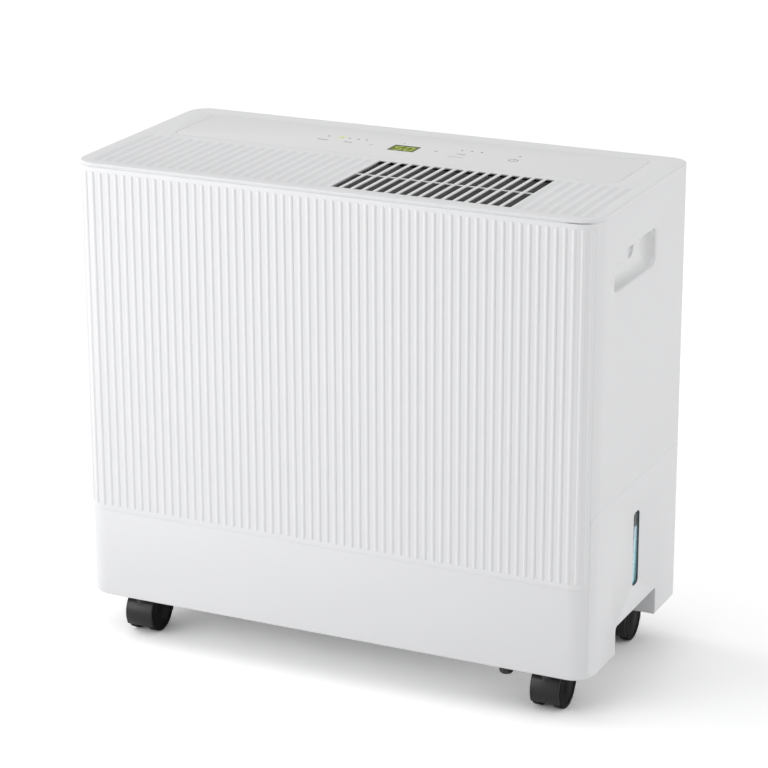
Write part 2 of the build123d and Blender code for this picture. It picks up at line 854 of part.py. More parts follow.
# Compressor on three grommets that stand on the raised channel
compressor_x = -half_width + compressor_inset
foot_circle = (trough_half - grommet_radius - fit) / sin(pi / 3)
plate_z = pan_top + grommet_height
shell_low = plate_z + foot_thick
shell_high = shell_low + compressor_height
with BuildPart() as compressor:
    with BuildSketch(Plane.XY.offset(plate_z)):
        with Locations((compressor_x, 0)):
            with PolarLocations(foot_circle, 3):
                Circle(grommet_radius)
        make_hull()
    extrude(amount=foot_thick)
    with BuildSketch(Plane.XY.offset(shell_low)):
        with Locations((compressor_x, 0)):
            Circle(compressor_radius)
    extrude(amount=compressor_height)
    chamfer(compressor.faces().sort_by(Axis.Z)[-1].edges(), dome_radius, dome_width)
    chamfer(compressor.faces().sort_by(Axis.Z)[-1].edges(), dome_crown, dome_width)
keep(compressor, "compressor")

with BuildPart() as compressor_grommets:
    with BuildSketch(Plane.XY.offset(pan_top)):
        with Locations((compressor_x, 0)):
            with PolarLocations(foot_circle, 3):
                Circle(grommet_radius)
    extrude(amount=grommet_height)
keep(compressor_grommets, "compressor_grommets")

# Suction accumulator, carried by its bent pipe into the compressor's side
accumulator_x = compressor_x + compressor_radius + accumulator_radius + fit
accumulator_low = shell_low + 2 * accumulator_radius
accumulator_high = accumulator_low + accumulator_height
with BuildPart() as accumulator:
    with BuildSketch(Plane.XY.offset(accumulator_low)):
        with Locations((accumulator_x, 0)):
            Circle(accumulator_radius)
    extrude(amount=accumulator_height)
    chamfer(accumulator.edges().filter_by(GeomType.CIRCLE), accumulator_round)
    with BuildLine() as link:
        FilletPolyline(
            (accumulator_x, 0, accumulator_low),
            (accumulator_x, 0, accumulator_low - accumulator_radius),
            (compressor_x + compressor_radius, 0, accumulator_low - accumulator_radius),
            radius=2 * tube_radius,
        )
    with BuildSketch(Plane.XY.offset(accumulator_low)):
        with Locations((accumulator_x, 0)):
            RegularPolygon(tube_radius, tube_sides)
    sweep(path=link.wires()[0])
keep(accumulator, "accumulator")


def pipe(points):
    """Copper pipe that leaves a coil towards -X, then follows straight runs joined by bends."""
    with BuildPart() as tube:
        with BuildLine() as route:
            FilletPolyline(*points, radius=pipe_bend)
        with BuildSketch(Plane(origin=points[0], z_dir=(-1, 0, 0))):
            RegularPolygon(tube_radius, tube_sides)
        sweep(path=route.wires()[0])
    return tube


suction_z = accumulator_high + suction_rise
suction_pipe = pipe(
    [
        (coil_left, evaporator_y, row_z[0]),
        (accumulator_x, evaporator_y, row_z[0]),
        (accumulator_x, evaporator_y, suction_z),
        (accumulator_x, 0, suction_z),
        (accumulator_x, 0, accumulator_high),
    ]
)
keep(suction_pipe, "suction_pipe")
discharge_pipe = pipe(
    [
        (coil_left, condenser_y, row_z[0]),
        (compressor_x, condenser_y, row_z[0]),
        (compressor_x, discharge_offset, row_z[0]),
        (compressor_x, discharge_offset, shell_high),
    ]
)
keep(discharge_pipe, "discharge_pipe")

# Fan housing: a volute that opens upwards into the outlet slots
neck_top = lid_z - fit
scroll_shift = scroll_right - scroll_left


def volute(grow):
    """Volute outline round the fan axis, drawn outwards by grow, flat at the neck."""
    left_x = outlet_x - scroll_left - grow
    right_x = outlet_x + scroll_right + grow
    with BuildSketch() as outline:
        with BuildLine():
            Line((left_x, neck_top), (left_x, fan_z))
            CenterArc((outlet_x, fan_z), scroll_left + grow, 180, 90)
            CenterArc((outlet_x, fan_z + scroll_shift), scroll_right + grow, 270, 90)
            Line((right_x, fan_z + scroll_shift), (right_x, neck_top))
            Line((right_x, neck_top), (left_x, neck_top))
        make_face()
    return outline.sketch


volute_outside = volute(scroll_wall)
volute_inside = volute(0)
with BuildPart() as fan_scroll:
    with BuildSketch(Plane.XZ.offset(-outlet_back)):
        add(volute_outside)
        add(volute_inside, mode=Mode.SUBTRACT)
        with BuildLine():
            lip = CenterArc((outlet_x, fan_z), wheel_radius + cutoff_gap, 180, -cutoff_angle)
            Line(lip @ 1, (outlet_x - scroll_left, fan_z + cutoff_rise))
            Line((outlet_x - scroll_left, fan_z + cutoff_rise), (outlet_x - scroll_left, fan_z))
            Line((outlet_x - scroll_left, fan_z), lip @ 0)
        make_face()
    extrude(amount=groove_length)
    with BuildSketch(Plane.XZ.offset(-outlet_front)):
        add(volute_outside)
    extrude(amount=scroll_wall)
    with BuildSketch(Plane.XY.offset(deck_top)):
        with Locations((outlet_x, groove_y)):
            Rectangle(scroll_foot, groove_length)
    extrude(amount=scroll_wall)
keep(fan_scroll, "fan_scroll")

with BuildPart() as fan_inlet:
    with BuildSketch(Plane.XZ.offset(-outlet_back - scroll_wall)):
        add(volute_outside)
        with Locations((outlet_x, fan_z)):
            Circle(inlet_radius, mode=Mode.SUBTRACT)
    extrude(amount=scroll_wall)
    with BuildSketch(Plane.XZ.offset(-outlet_back)):
        with Locations((outlet_x, fan_z)):
            Circle(inlet_radius + scroll_wall)
            Circle(inlet_radius, mode=Mode.SUBTRACT)
    extrude(amount=inlet_lip)
keep(fan_inlet, "fan_inlet")

# Fan motor on the front plate, inside the wheel's hub
motor_end = outlet_front + motor_length
with BuildPart() as fan_motor:
    with BuildSketch(Plane.XZ.offset(-outlet_front)):
        with Locations((outlet_x, fan_z)):
            Circle(motor_radius)
    extrude(amount=-motor_length)
    chamfer(fan_motor.faces().sort_by(Axis.Y)[-1].edges(), motor_round)
    with BuildSketch(Plane.XZ.offset(-motor_end)):
        with Locations((outlet_x, fan_z)):
            Circle(shaft_radius + pin_clearance)
    extrude(amount=motor_length - motor_back, mode=Mode.SUBTRACT)
keep(fan_motor, "fan_motor")

hub_end = motor_end + hub_gap
shaft_end = hub_end + hub_wall + hub_boss_length
with BuildPart() as fan_shaft:
    with BuildSketch(Plane.XZ.offset(-shaft_end)):
        with Locations((outlet_x, fan_z)):
            Circle(shaft_radius)
    extrude(amount=shaft_end - outlet_front - motor_back - touch)
keep(fan_shaft, "fan_shaft")

# Fan wheel: hub cup over the motor, slanted blades and a stiffening ring
wheel_front = outlet_front + wheel_gap
with BuildPart() as fan_wheel:
    with BuildSketch(Plane.YZ.offset(outlet_x)):
        with BuildLine():
            Polyline(
                (wheel_front, fan_z + hub_radius - hub_wall),
                (wheel_front, fan_z + wheel_radius),
                (wheel_front + hub_wall, fan_z + wheel_radius),
                (wheel_front + hub_wall, fan_z + hub_radius),
                (hub_end + hub_wall, fan_z + hub_radius),
                (hub_end + hub_wall, fan_z + hub_boss_radius),
                (shaft_end, fan_z + hub_boss_radius),
                (shaft_end, fan_z + shaft_radius),
                (hub_end, fan_z + shaft_radius),
                (hub_end, fan_z + hub_radius - hub_wall),
                close=True,
            )
        make_face()
    revolve(axis=Axis((outlet_x, 0, fan_z), (0, 1, 0)))
    with BuildSketch(Plane.XZ.offset(-wheel_front - hub_wall)):
        with Locations((outlet_x, fan_z)):
            with PolarLocations((wheel_radius + wheel_inner) / 2, blade_count):
                Rectangle(blade_chord, blade_thick, rotation=blade_angle)
    extrude(amount=hub_wall - wheel_width)
    with BuildSketch(Plane.XZ.offset(-wheel_front - wheel_width)):
        with Locations((outlet_x, fan_z)):
            Circle(wheel_radius)
            Circle(wheel_radius - ring_wall, mode=Mode.SUBTRACT)
    extrude(amount=ring_width)
keep(fan_wheel, "fan_wheel")

# Finger guard across the outlet neck
neck_width = scroll_left + scroll_right - 2 * touch
neck_depth = groove_length - 2 * touch
guard_step_x = (neck_width - guard_bar) / guard_columns
guard_step_y = (neck_depth - guard_bar) / guard_rows
with BuildPart() as outlet_guard:
    with BuildSketch(Plane.XY.offset(neck_top - guard_drop)):
        with Locations((outlet_x + scroll_shift / 2, groove_y)):
            Rectangle(neck_width, neck_depth)
            with GridLocations(guard_step_x, guard_step_y, guard_columns, guard_rows):
                Rectangle(guard_step_x - guard_bar, guard_step_y - guard_bar, mode=Mode.SUBTRACT)
    extrude(amount=-guard_thick)
keep(outlet_guard, "outlet_guard")

# Control box on the partition, clear of the suction pipe, with its board and cover
box_back = -3 * tube_radius
box_width = inner_y - box_gap + box_back
box_y = box_back - box_width / 2
box_low = shell_high + box_rise
box_high = box_low + box_height
box_z = box_low + box_height / 2
box_open_x = partition_x - box_depth
board_width = box_width - 2 * box_wall - 2 * standoff_radius
board_height = box_height - 2 * box_wall - 2 * standoff_radius
with BuildPart() as control_box:
    with BuildSketch(Plane.YZ.offset(partition_x)):
        with Locations((box_y, box_z)):
            Rectangle(box_width, box_height)
    extrude(amount=-box_depth)
    with BuildSketch(Plane.YZ.offset(box_open_x)):
        with Locations((box_y, box_z)):
            Rectangle(box_width - 2 * box_wall, box_height - 2 * box_wall)
    extrude(amount=box_depth - box_wall, mode=Mode.SUBTRACT)
    with BuildSketch(Plane.YZ.offset(partition_x - box_wall)):
        with Locations((box_y, box_z)):
            with GridLocations(board_width - 2 * standoff_radius, board_height - 2 * standoff_radius, 2, 2):
                Circle(standoff_radius)
    extrude(amount=-standoff_height)
keep(control_box, "control_box")

board_x = partition_x - box_wall - standoff_height
with BuildPart() as control_board:
    with BuildSketch(Plane.YZ.offset(board_x)):
        with Locations((box_y, box_z)):
            Rectangle(board_width, board_height)
    extrude(amount=-board_thick)
    with BuildSketch(Plane.YZ.offset(board_x - board_thick)):
        with Locations((box_y, box_z)):
            with GridLocations(board_width / 3, board_height / 2, 3, 2):
                Rectangle(relay_size, relay_size)
    extrude(amount=-relay_height)
keep(control_board, "control_board")

with BuildPart() as control_cover:
    with BuildSketch(Plane.YZ.offset(box_open_x)):
        with Locations((box_y, box_z)):
            Rectangle(box_width, box_height)
    extrude(amount=-box_wall)
keep(control_cover, "control_cover")

# Run capacitor strapped down on the control box
capacitor_x = partition_x - box_depth / 2
capacitor_z = box_high + touch + capacitor_radius
with BuildPart() as run_capacitor:
    with BuildSketch(Plane.XZ.offset(-box_y - capacitor_length / 2)):
        with Locations((capacitor_x, capacitor_z)):
            Circle(capacitor_radius)
    extrude(amount=capacitor_length)
keep(run_capacitor, "run_capacitor")

strap_inside = capacitor_radius + touch
with BuildPart() as capacitor_strap:
    with BuildSketch(Plane.XZ.offset(-box_y - strap_width / 2)):
        with Locations((capacitor_x, capacitor_z)):
            Circle(strap_inside + strap_wall)
        with Locations((capacitor_x, (box_high + capacitor_z) / 2)):
            Rectangle(2 * (strap_inside + strap_wall), capacitor_z - box_high)
        with Locations((capacitor_x, capacitor_z)):
            Circle(strap_inside, mode=Mode.SUBTRACT)
        with Locations((capacitor_x, box_high)):
            Rectangle(2 * strap_inside, 2 * (capacitor_z - box_high), mode=Mode.SUBTRACT)
    extrude(amount=strap_width)
keep(capacitor_strap, "capacitor_strap")

# Screws that hold the rear cover
with BuildPart() as rear_screws:
    with BuildSketch(Plane.XZ.offset(-shell_y)):
        with Locations(*screw_spots):
            Circle(screw_radius)
    extrude(amount=-screw_head)
    with BuildSketch(Plane.XZ.offset(-shell_y)):
        with Locations(*screw_spots):
            Circle(screw_shank)
    extrude(amount=screw_length)
keep(rear_screws, "rear_screws")

# Twin-wheel swivel casters, all trailing backwards
hood_in = caster_wheel_radius + hood_gap
hood_out = hood_in + hood_wall
hood_sweep = hood_front_angle - hood_back_angle
wheel_inside = caster_width / 2 - caster_wheel_width
web_half = wheel_inside - fit
boss_high = floor_gap - swivel_gap
stem_high = floor_gap + stem_length


def caster_hood(x, y):
    """Hood over both wheels, its web between them and the stem boss above."""
    axle = (y + caster_trail, caster_wheel_radius)
    with BuildPart() as hood:
        with BuildSketch(Plane.YZ.offset(x - web_half)):
            with BuildLine():
                rim = CenterArc(axle, hood_out, hood_back_angle, hood_sweep)
                Line(axle, rim @ 0)
                Line(rim @ 1, axle)
            make_face()
            with Locations(axle):
                Circle(hood_hub)
                Circle(axle_radius + pin_clearance, mode=Mode.SUBTRACT)
        extrude(amount=2 * web_half)
        with BuildSketch(Plane.YZ.offset(x - hood_width / 2)):
            with BuildLine():
                outer = CenterArc(axle, hood_out, hood_back_angle, hood_sweep)
                inner = CenterArc(axle, hood_in, hood_back_angle, hood_sweep)
                Line(outer @ 0, inner @ 0)
                Line(outer @ 1, inner @ 1)
            make_face()
        extrude(amount=hood_width)
        with BuildSketch(Plane.XY.offset(boss_low)):
            with Locations((x, y)):
                Circle(boss_radius)
        extrude(amount=boss_high - boss_low)
        with BuildSketch(Plane.XY.offset(boss_high)):
            with Locations((x, y)):
                Circle(stem_radius)
        extrude(amount=stem_high - boss_high)
    return hood


def caster_wheels(x, y):
    """Two wheels with rounded shoulders, one on each side of the web."""
    with BuildPart() as wheels:
        for side in (-1, 1):
            with BuildSketch(Plane.YZ.offset(x + side * wheel_inside)):
                with Locations((y + caster_trail, caster_wheel_radius)):
                    Circle(caster_wheel_radius)
                    Circle(axle_radius, mode=Mode.SUBTRACT)
            extrude(amount=side * caster_wheel_width)
        treads = wheels.edges().filter_by(GeomType.CIRCLE).filter_by(lambda edge: edge.radius > hood_hub)
        chamfer(treads.group_by(Axis.X)[0] + treads.group_by(Axis.X)[-1], wheel_shoulder)
    return wheels


def caster_axle(x, y):
    """Steel pin through both wheels and the web."""
    with BuildPart() as pin:
        with BuildSketch(Plane.YZ.offset(x - caster_width / 2 + axle_recess)):
            with Locations((y + caster_trail, caster_wheel_radius)):
                Circle(axle_radius)
        extrude(amount=caster_width - 2 * axle_recess)
    return pin


corners = ("front_left", "front_right", "rear_left", "rear_right")
for corner, stem in zip(corners, stems):
    keep(caster_hood(*stem), f"caster_hood_{corner}")
    keep(caster_wheels(*stem), f"caster_wheels_{corner}")
    keep(caster_axle(*stem), f"caster_axle_{corner}")
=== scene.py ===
import json
from contextlib import contextmanager
from math import cos, pi, radians, sin

import bmesh
import bpy
from mathutils import Matrix, Vector


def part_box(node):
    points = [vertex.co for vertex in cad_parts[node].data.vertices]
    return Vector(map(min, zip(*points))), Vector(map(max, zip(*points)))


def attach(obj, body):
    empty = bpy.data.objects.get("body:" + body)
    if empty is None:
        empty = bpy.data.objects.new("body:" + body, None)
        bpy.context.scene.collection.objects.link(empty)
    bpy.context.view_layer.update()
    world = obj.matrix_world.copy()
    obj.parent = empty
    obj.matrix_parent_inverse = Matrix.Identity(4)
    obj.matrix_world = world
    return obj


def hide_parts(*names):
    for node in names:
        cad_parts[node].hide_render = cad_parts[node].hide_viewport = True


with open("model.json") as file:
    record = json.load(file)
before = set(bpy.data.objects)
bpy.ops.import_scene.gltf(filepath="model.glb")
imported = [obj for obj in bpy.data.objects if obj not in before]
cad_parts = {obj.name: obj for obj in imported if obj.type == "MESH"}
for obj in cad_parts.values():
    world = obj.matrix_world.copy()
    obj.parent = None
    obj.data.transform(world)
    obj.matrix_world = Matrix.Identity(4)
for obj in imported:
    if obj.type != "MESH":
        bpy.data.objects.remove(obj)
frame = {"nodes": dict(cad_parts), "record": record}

# White dehumidifier on four casters. Lengths are written in millimetres and turned to metres by MM.
# Frame: origin on the floor under the middle of the body, +X right, +Y back, +Z up.
# In names, GAP is a clearance, SHY how far a piece stops short of a face, OVER how far it reaches past
# and SOFT the width of a broken edge.
MM = 0.001
X, Y, Z = range(3)
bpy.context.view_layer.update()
bpy.ops.object.select_all(action="DESELECT")

# Body
HALF_WIDTH = 250.0
HALF_DEPTH = 117.0
TOP = 455.0
FRONT_RADIUS = 22.0
REAR_RADIUS = 19.5
SIDE_INSET = 0.4
FRONT_INSET = 1.2
WALL = 3.2
SHELL_X = HALF_WIDTH - SIDE_INSET
SHELL_Y = HALF_DEPTH - FRONT_INSET
INNER_X = SHELL_X - WALL
EDGE_SOFT = 0.1
SEAM = 0.08
FRONT_SEAM = -107.6
FOOT_ROUND = 1.8

# Reach of the tools that cut the shell
TOOL_IN = 230.0
TOOL_OUT = 260.0
TOOL_LOW = 20.0
TOOL_OVER = 4.0


def span(node):
    """Lowest and highest corner of a CAD node, in millimetres."""
    low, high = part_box(node)
    return Vector(low) / MM, Vector(high) / MM


# Camera, floor and light
AIM = Vector((1.363, 0.0, 245.479)) * MM
VIEW_TURN = radians(25.278)
VIEW_RISE = radians(18.588)
VIEW_ROLL = radians(-0.189)
VIEW_REACH = 2578.8 * MM
LENS = 132.817
SENSOR = 36.0
FAR_CLIP = 60.0
BROAD_ANGLE = radians(40.0)
BROAD_REACH = 5.0
FLOOR_SIZE = 60.0
FLOOR_BOUNCE = 0.80
FLOOR_SEEN = 1.5
ROOM_GLOW = 0.50
PALE = (1.0, 1.0, 1.0)


def aim_at(thing, target):
    """Turn a camera or a light towards a point."""
    thing.rotation_euler = (Vector(target) - thing.location).to_track_quat("-Z", "Y").to_euler()


def away_from_front(turn, rise):
    """A direction seen from the body; turn is counted from the front towards the right."""
    return Vector((sin(turn) * cos(rise), -cos(turn) * cos(rise), sin(rise)))


def set_camera():
    bpy.ops.object.camera_add(location=AIM + away_from_front(VIEW_TURN, VIEW_RISE) * VIEW_REACH)
    camera = bpy.context.active_object
    aim_at(camera, AIM)
    camera.rotation_euler.rotate_axis("Z", VIEW_ROLL)
    camera.data.lens = LENS
    camera.data.sensor_width = SENSOR
    camera.data.clip_end = FAR_CLIP
    bpy.context.scene.camera = camera


def softbox(name, location, size, watts):
    """One square soft light turned to the middle of the body."""
    bpy.ops.object.light_add(type="AREA", location=location)
    lamp = bpy.context.active_object
    lamp.name = name
    lamp.data.shape = "SQUARE"
    lamp.data.size = size
    lamp.data.energy = watts
    lamp.visible_camera = False
    aim_at(lamp, AIM)


def broad_light(name, turn, rise, strength):
    """A far and very wide soft light from a direction in degrees."""
    away = away_from_front(radians(turn), radians(rise))
    bpy.ops.object.light_add(type="SUN", location=AIM + BROAD_REACH * away)
    lamp = bpy.context.active_object
    lamp.name = name
    lamp.data.angle = BROAD_ANGLE
    lamp.data.energy = strength
    aim_at(lamp, AIM)


# Shader writing
class Wire:
    """One value in a material; arithmetic on it adds Math nodes."""

    def __init__(self, finish, socket):
        self.finish = finish
        self.socket = socket

    def maths(self, operation, first, second):
        return self.finish.node("ShaderNodeMath", {"operation": operation}, {0: first, 1: second})

    def __add__(self, other):
        return self.maths("ADD", self, other)

    def __sub__(self, other):
        return self.maths("SUBTRACT", self, other)

    def __rsub__(self, other):
        return self.maths("SUBTRACT", other, self)

    def __mul__(self, other):
        return self.maths("MULTIPLY", self, other)

    def __truediv__(self, other):
        return self.maths("DIVIDE", self, other)

    def __rtruediv__(self, other):
        return self.maths("DIVIDE", other, self)

    __radd__ = __add__
    __rmul__ = __mul__


class Finish:
    """A material, or the world, put together node by node."""

    def __init__(self, owner):
        owner.use_nodes = True
        self.owner = owner
        self.tree = owner.node_tree
        self.tree.nodes.clear()

    def node(self, kind, settings=None, sockets=None, output=0):
        """Add a node: its settings first, then its sockets' values or links. Gives one output."""
        made = self.tree.nodes.new(kind)
        for key, value in (settings or {}).items():
            if key == "stops":
                for stop, (position, colour) in zip(made.color_ramp.elements, value[:2]):
                    stop.position, stop.color = position, colour
                for position, colour in value[2:]:
                    made.color_ramp.elements.new(position).color = colour
            else:
                setattr(made, key, value)
        for key, value in (sockets or {}).items():
            if isinstance(value, Wire):
                self.tree.links.new(value.socket, made.inputs[key])
            else:
                made.inputs[key].default_value = value
        return Wire(self, made.outputs[output]) if made.outputs else None

    def place(self, stretch=(1.0, 1.0, 1.0)):
        """Position on the object, stretched along its axes."""
        here = self.node("ShaderNodeTexCoord", output="Object")
        return self.node("ShaderNodeMapping", None, {"Vector": here, "Scale": stretch})

    def along(self, axis):
        """Distance along X, Y or Z, in metres."""
        here = self.node("ShaderNodeTexCoord", output="Object")
        return self.node("ShaderNodeSeparateXYZ", None, {0: here}, output=axis)

    def noise(self, scale, detail=2.0, stretch=(1.0, 1.0, 1.0)):
        """Smooth noise from 0 to 1."""
        sockets = {"Vector": self.place(stretch), "Scale": scale, "Detail": detail}
        return self.node("ShaderNodeTexNoise", None, sockets)

    def waves(self, axis, pitch):
        """Ripples along one axis, from 0 to 1, with a pitch in millimetres."""
        turn = self.along(axis) * (2 * pi / (pitch * MM))
        return self.node("ShaderNodeMath", {"operation": "SINE"}, {0: turn}) * 0.5 + 0.5

    def blend(self, factor, first, second):
        """A colour between two colours."""
        sockets = {0: factor, 6: first, 7: second}
        return self.node("ShaderNodeMix", {"data_type": "RGBA"}, sockets, output=2)

    def bump(self, height, strength, depth):
        """A normal from a height, depth in millimetres."""
        sockets = {"Height": height, "Strength": strength, "Distance": depth * MM}
        return self.node("ShaderNodeBump", None, sockets)

    def surface(self, **sockets):
        """Close the material with one shader; a keyword's underscores stand for spaces."""
        named = {key.replace("_", " "): value for key, value in sockets.items()}
        shader = self.node("ShaderNodeBsdfPrincipled", None, named)
        self.node("ShaderNodeOutputMaterial", None, {0: shader})
        return self.owner


def new_finish(name):
    return Finish(bpy.data.materials.new(name))


def tint(colour, factor=1.0):
    """A colour with its alpha, made lighter or darker."""
    return (*(part * factor for part in colour), 1.0)


# Finishes
GLOSS_FINE = 0.10
GLOSS_SLOW = 0.08
FILTER_PITCH = 1.6
FIN_PITCH = 1.5
WHITE = (0.852, 0.855, 0.866)
# Painted shade: the shell white made greyer for the plinth, so the low band of the body reads darker.
PLINTH_SHADED_WHITE = (0.805, 0.808, 0.820)
FILM_WHITE = (0.85, 0.852, 0.853)


def moulded(name, colour, roughness, grain=1500.0, relief=0.05, drift=0.02, shine=0.5):
    """Satin moulded plastic: fine spark-eroded grain and a slow drift of tone and gloss."""
    finish = new_finish(name)
    fine = finish.noise(grain, 3.0)
    slow = finish.noise(7.0, 2.0)
    smoothest = roughness - (GLOSS_FINE + GLOSS_SLOW) / 2
    return finish.surface(
        Base_Color=finish.blend(slow, tint(colour, 1.0 - drift), tint(colour, 1.0 + drift)),
        Roughness=fine * GLOSS_FINE + slow * GLOSS_SLOW + smoothest,
        Normal=finish.bump(fine, relief, 0.2),
        Specular_IOR_Level=shine,
    )


def display_black():
    finish = new_finish("display_black")
    smear = finish.noise(60.0, 4.0)
    return finish.surface(
        Base_Color=tint((0.010, 0.012, 0.010)), Roughness=smear * 0.10 + 0.15, Specular_IOR_Level=0.06
    )


def lamp_glow(name, colour, strength):
    """A lit segment or lamp under a diffusing film, brighter in places."""
    finish = new_finish(name)
    cell = finish.noise(900.0, 2.0)
    lit = finish.blend(cell, tint(colour, 0.8), tint(colour, 1.1))
    return finish.surface(
        Base_Color=tint(colour, 0.1),
        Roughness=0.5,
        Specular_IOR_Level=0.02,
        Emission_Color=lit,
        Emission_Strength=strength,
    )


def painted_halo_film(x, y, radius):
    """The control film with a painted pale yellow glow that fades with the distance from a lamp."""
    finish = new_finish("painted_halo_film")
    away = finish.node(
        "ShaderNodeVectorMath",
        {"operation": "DISTANCE"},
        {0: finish.place((1.0, 1.0 / HALO_LONG, 1.0)), 1: (x * MM, y * MM / HALO_LONG, TOP * MM)},
        output=1,
    )
    fade = 1.0 - away / (radius * MM)
    return finish.surface(
        Base_Color=finish.blend(fade, tint(FILM_WHITE), tint((0.80, 0.86, 0.45))), Roughness=0.36
    )


def clear_lens():
    finish = new_finish("clear_lens")
    smear = finish.noise(140.0, 3.0)
    return finish.surface(
        Base_Color=tint((0.93, 0.97, 0.98)), Roughness=smear * 0.05 + 0.02, Transmission_Weight=1.0, IOR=1.2
    )


def gauge_water(low, level, high, painted_glint_end):
    """Water seen through the gauge: teal lower down and pale cyan towards its level, with painted highlights
    along the water line and in a pale strip at the front, and painted shade in the dark grey above the level.
    """
    finish = new_finish("gauge_water")
    height = (finish.along(Z) - low * MM) / ((high - low) * MM)
    line = (level - low) / (high - low)
    # Teal at the bottom and paler up to the level; the palest band just under the level is a painted
    # highlight, and the dark grey above it is painted shade of the empty tank.
    stops = [
        (0.0, tint((0.20, 0.48, 0.52))),
        (0.30, tint((0.36, 0.66, 0.70))),
        (0.42, tint((0.40, 0.68, 0.76))),
        (line - 0.06, tint((0.60, 0.78, 0.87))),
        (line - 0.012, tint((0.66, 0.84, 0.93))),
        (line, tint((0.12, 0.14, 0.155))),
        (line + 0.05, tint((0.135, 0.137, 0.139))),
        (1.0, tint((0.13, 0.131, 0.132))),
    ]
    ramp = finish.node("ShaderNodeValToRGB", {"stops": stops}, {0: height})
    ripple = finish.noise(90.0, 2.0, (1.0, 1.0, 0.4))
    # Painted highlight: the water is blended towards pale cyan in a strip along its front edge.
    inward = (painted_glint_end * MM - finish.along(Y)) * (1.0 / (PAINTED_GLINT_WIDTH * MM))
    painted_glint = finish.node("ShaderNodeMath", {"operation": "MULTIPLY", "use_clamp": True}, {0: inward, 1: 0.7})
    ripple_and_painted_glint = finish.blend(ripple * 0.15 + painted_glint, ramp, tint((0.72, 0.90, 0.94)))
    wet = finish.node("ShaderNodeMath", {"operation": "LESS_THAN"}, {0: height, 1: line})
    return finish.surface(
        Base_Color=finish.blend(wet, ramp, ripple_and_painted_glint), Roughness=ripple * 0.1 + 0.12, Coat_Weight=0.3
    )


def tank_resin():
    finish = new_finish("tank_resin")
    cloud = finish.noise(22.0, 3.0)
    fine = finish.noise(1300.0, 2.0)
    return finish.surface(
        Base_Color=finish.blend(cloud, tint((0.84, 0.86, 0.865)), tint((0.88, 0.895, 0.90))),
        Roughness=fine * 0.08 + 0.26,
        Normal=finish.bump(fine, 0.05, 0.2),
        Transmission_Weight=0.1,
    )


def float_foam():
    finish = new_finish("float_foam")
    cells = finish.node("ShaderNodeTexVoronoi", None, {"Vector": finish.place(), "Scale": 420.0})
    return finish.surface(
        Base_Color=finish.blend(cells, tint((0.82, 0.82, 0.80)), tint((0.66, 0.66, 0.64))),
        Roughness=0.85,
        Normal=finish.bump(cells, 0.35, 0.5),
    )


def filter_weave():
    """Woven filter net of crossing threads."""
    finish = new_finish("filter_weave")
    across = finish.waves(X, FILTER_PITCH)
    up = finish.waves(Z, FILTER_PITCH)
    thread = finish.node("ShaderNodeMath", {"operation": "MAXIMUM"}, {0: across, 1: up})
    return finish.surface(
        Base_Color=finish.blend(thread, tint((0.012, 0.012, 0.013)), tint((0.10, 0.10, 0.11))),
        Roughness=0.78,
        Normal=finish.bump(thread, 0.5, 0.4),
    )


def soft_rubber():
    finish = new_finish("soft_rubber")
    dust = finish.noise(90.0, 4.0)
    fine = finish.noise(1700.0, 2.0)
    return finish.surface(
        Base_Color=finish.blend(dust, tint((0.022, 0.022, 0.023)), tint((0.050, 0.050, 0.051))),
        Roughness=dust * 0.2 + 0.48,
        Normal=finish.bump(fine, 0.1, 0.2),
    )


def circuit_board():
    """Green board with paler tracks and pads."""
    finish = new_finish("circuit_board")
    sockets = {"Vector": finish.place(), "Scale": 240.0, "Randomness": 0.6}
    cell = finish.node("ShaderNodeTexVoronoi", {"distance": "MANHATTAN"}, sockets)
    pad = finish.node("ShaderNodeMath", {"operation": "LESS_THAN"}, {0: cell, 1: 0.22})
    board = finish.blend(finish.noise(55.0), tint((0.010, 0.095, 0.035)), tint((0.016, 0.135, 0.05)))
    return finish.surface(
        Base_Color=finish.blend(pad, board, tint((0.60, 0.47, 0.22))), Metallic=pad * 0.8, Roughness=0.42
    )


def black_enamel():
    finish = new_finish("black_enamel")
    peel = finish.noise(220.0, 2.0)
    dust = finish.noise(24.0, 4.0)
    return finish.surface(
        Base_Color=finish.blend(dust, tint((0.014, 0.014, 0.015)), tint((0.032, 0.032, 0.034))),
        Roughness=dust * 0.15 + 0.28,
        Normal=finish.bump(peel, 0.12, 0.3),
    )


def fin_aluminium():
    """Thin aluminium fins on edge, with painted shade in the dark stripes between them."""
    finish = new_finish("fin_aluminium")
    fins_and_gap_shade = finish.waves(X, FIN_PITCH)
    dull = finish.noise(30.0, 3.0)
    return finish.surface(
        # Dark stripes: painted shade in the gaps between the fins.
        Base_Color=finish.blend(fins_and_gap_shade, tint((0.32, 0.33, 0.34)), tint((0.83, 0.84, 0.85))),
        Metallic=0.9,
        Roughness=dull * 0.2 + 0.28,
        Normal=finish.bump(fins_and_gap_shade, 0.4, 0.3),
    )


def metal(name, colour, tarnish, roughness):
    """Bare metal with a drift of tarnish and fine drawing marks."""
    finish = new_finish(name)
    drift = finish.noise(45.0, 4.0)
    lines = finish.noise(700.0, 2.0, (1.0, 1.0, 0.1))
    return finish.surface(
        Base_Color=finish.blend(drift, tint(colour), tint(tarnish)),
        Metallic=1.0,
        Roughness=drift * 0.18 + lines * 0.08 + (roughness - 0.13),
        Normal=finish.bump(lines, 0.06, 0.1),
    )


def printed(name, colour):
    """Screen-printed ink on the control film."""
    finish = new_finish(name)
    speck = finish.noise(2600.0, 2.0)
    return finish.surface(
        Base_Color=finish.blend(speck, tint(colour, 0.92), tint(colour, 1.08)), Roughness=speck * 0.1 + 0.45
    )


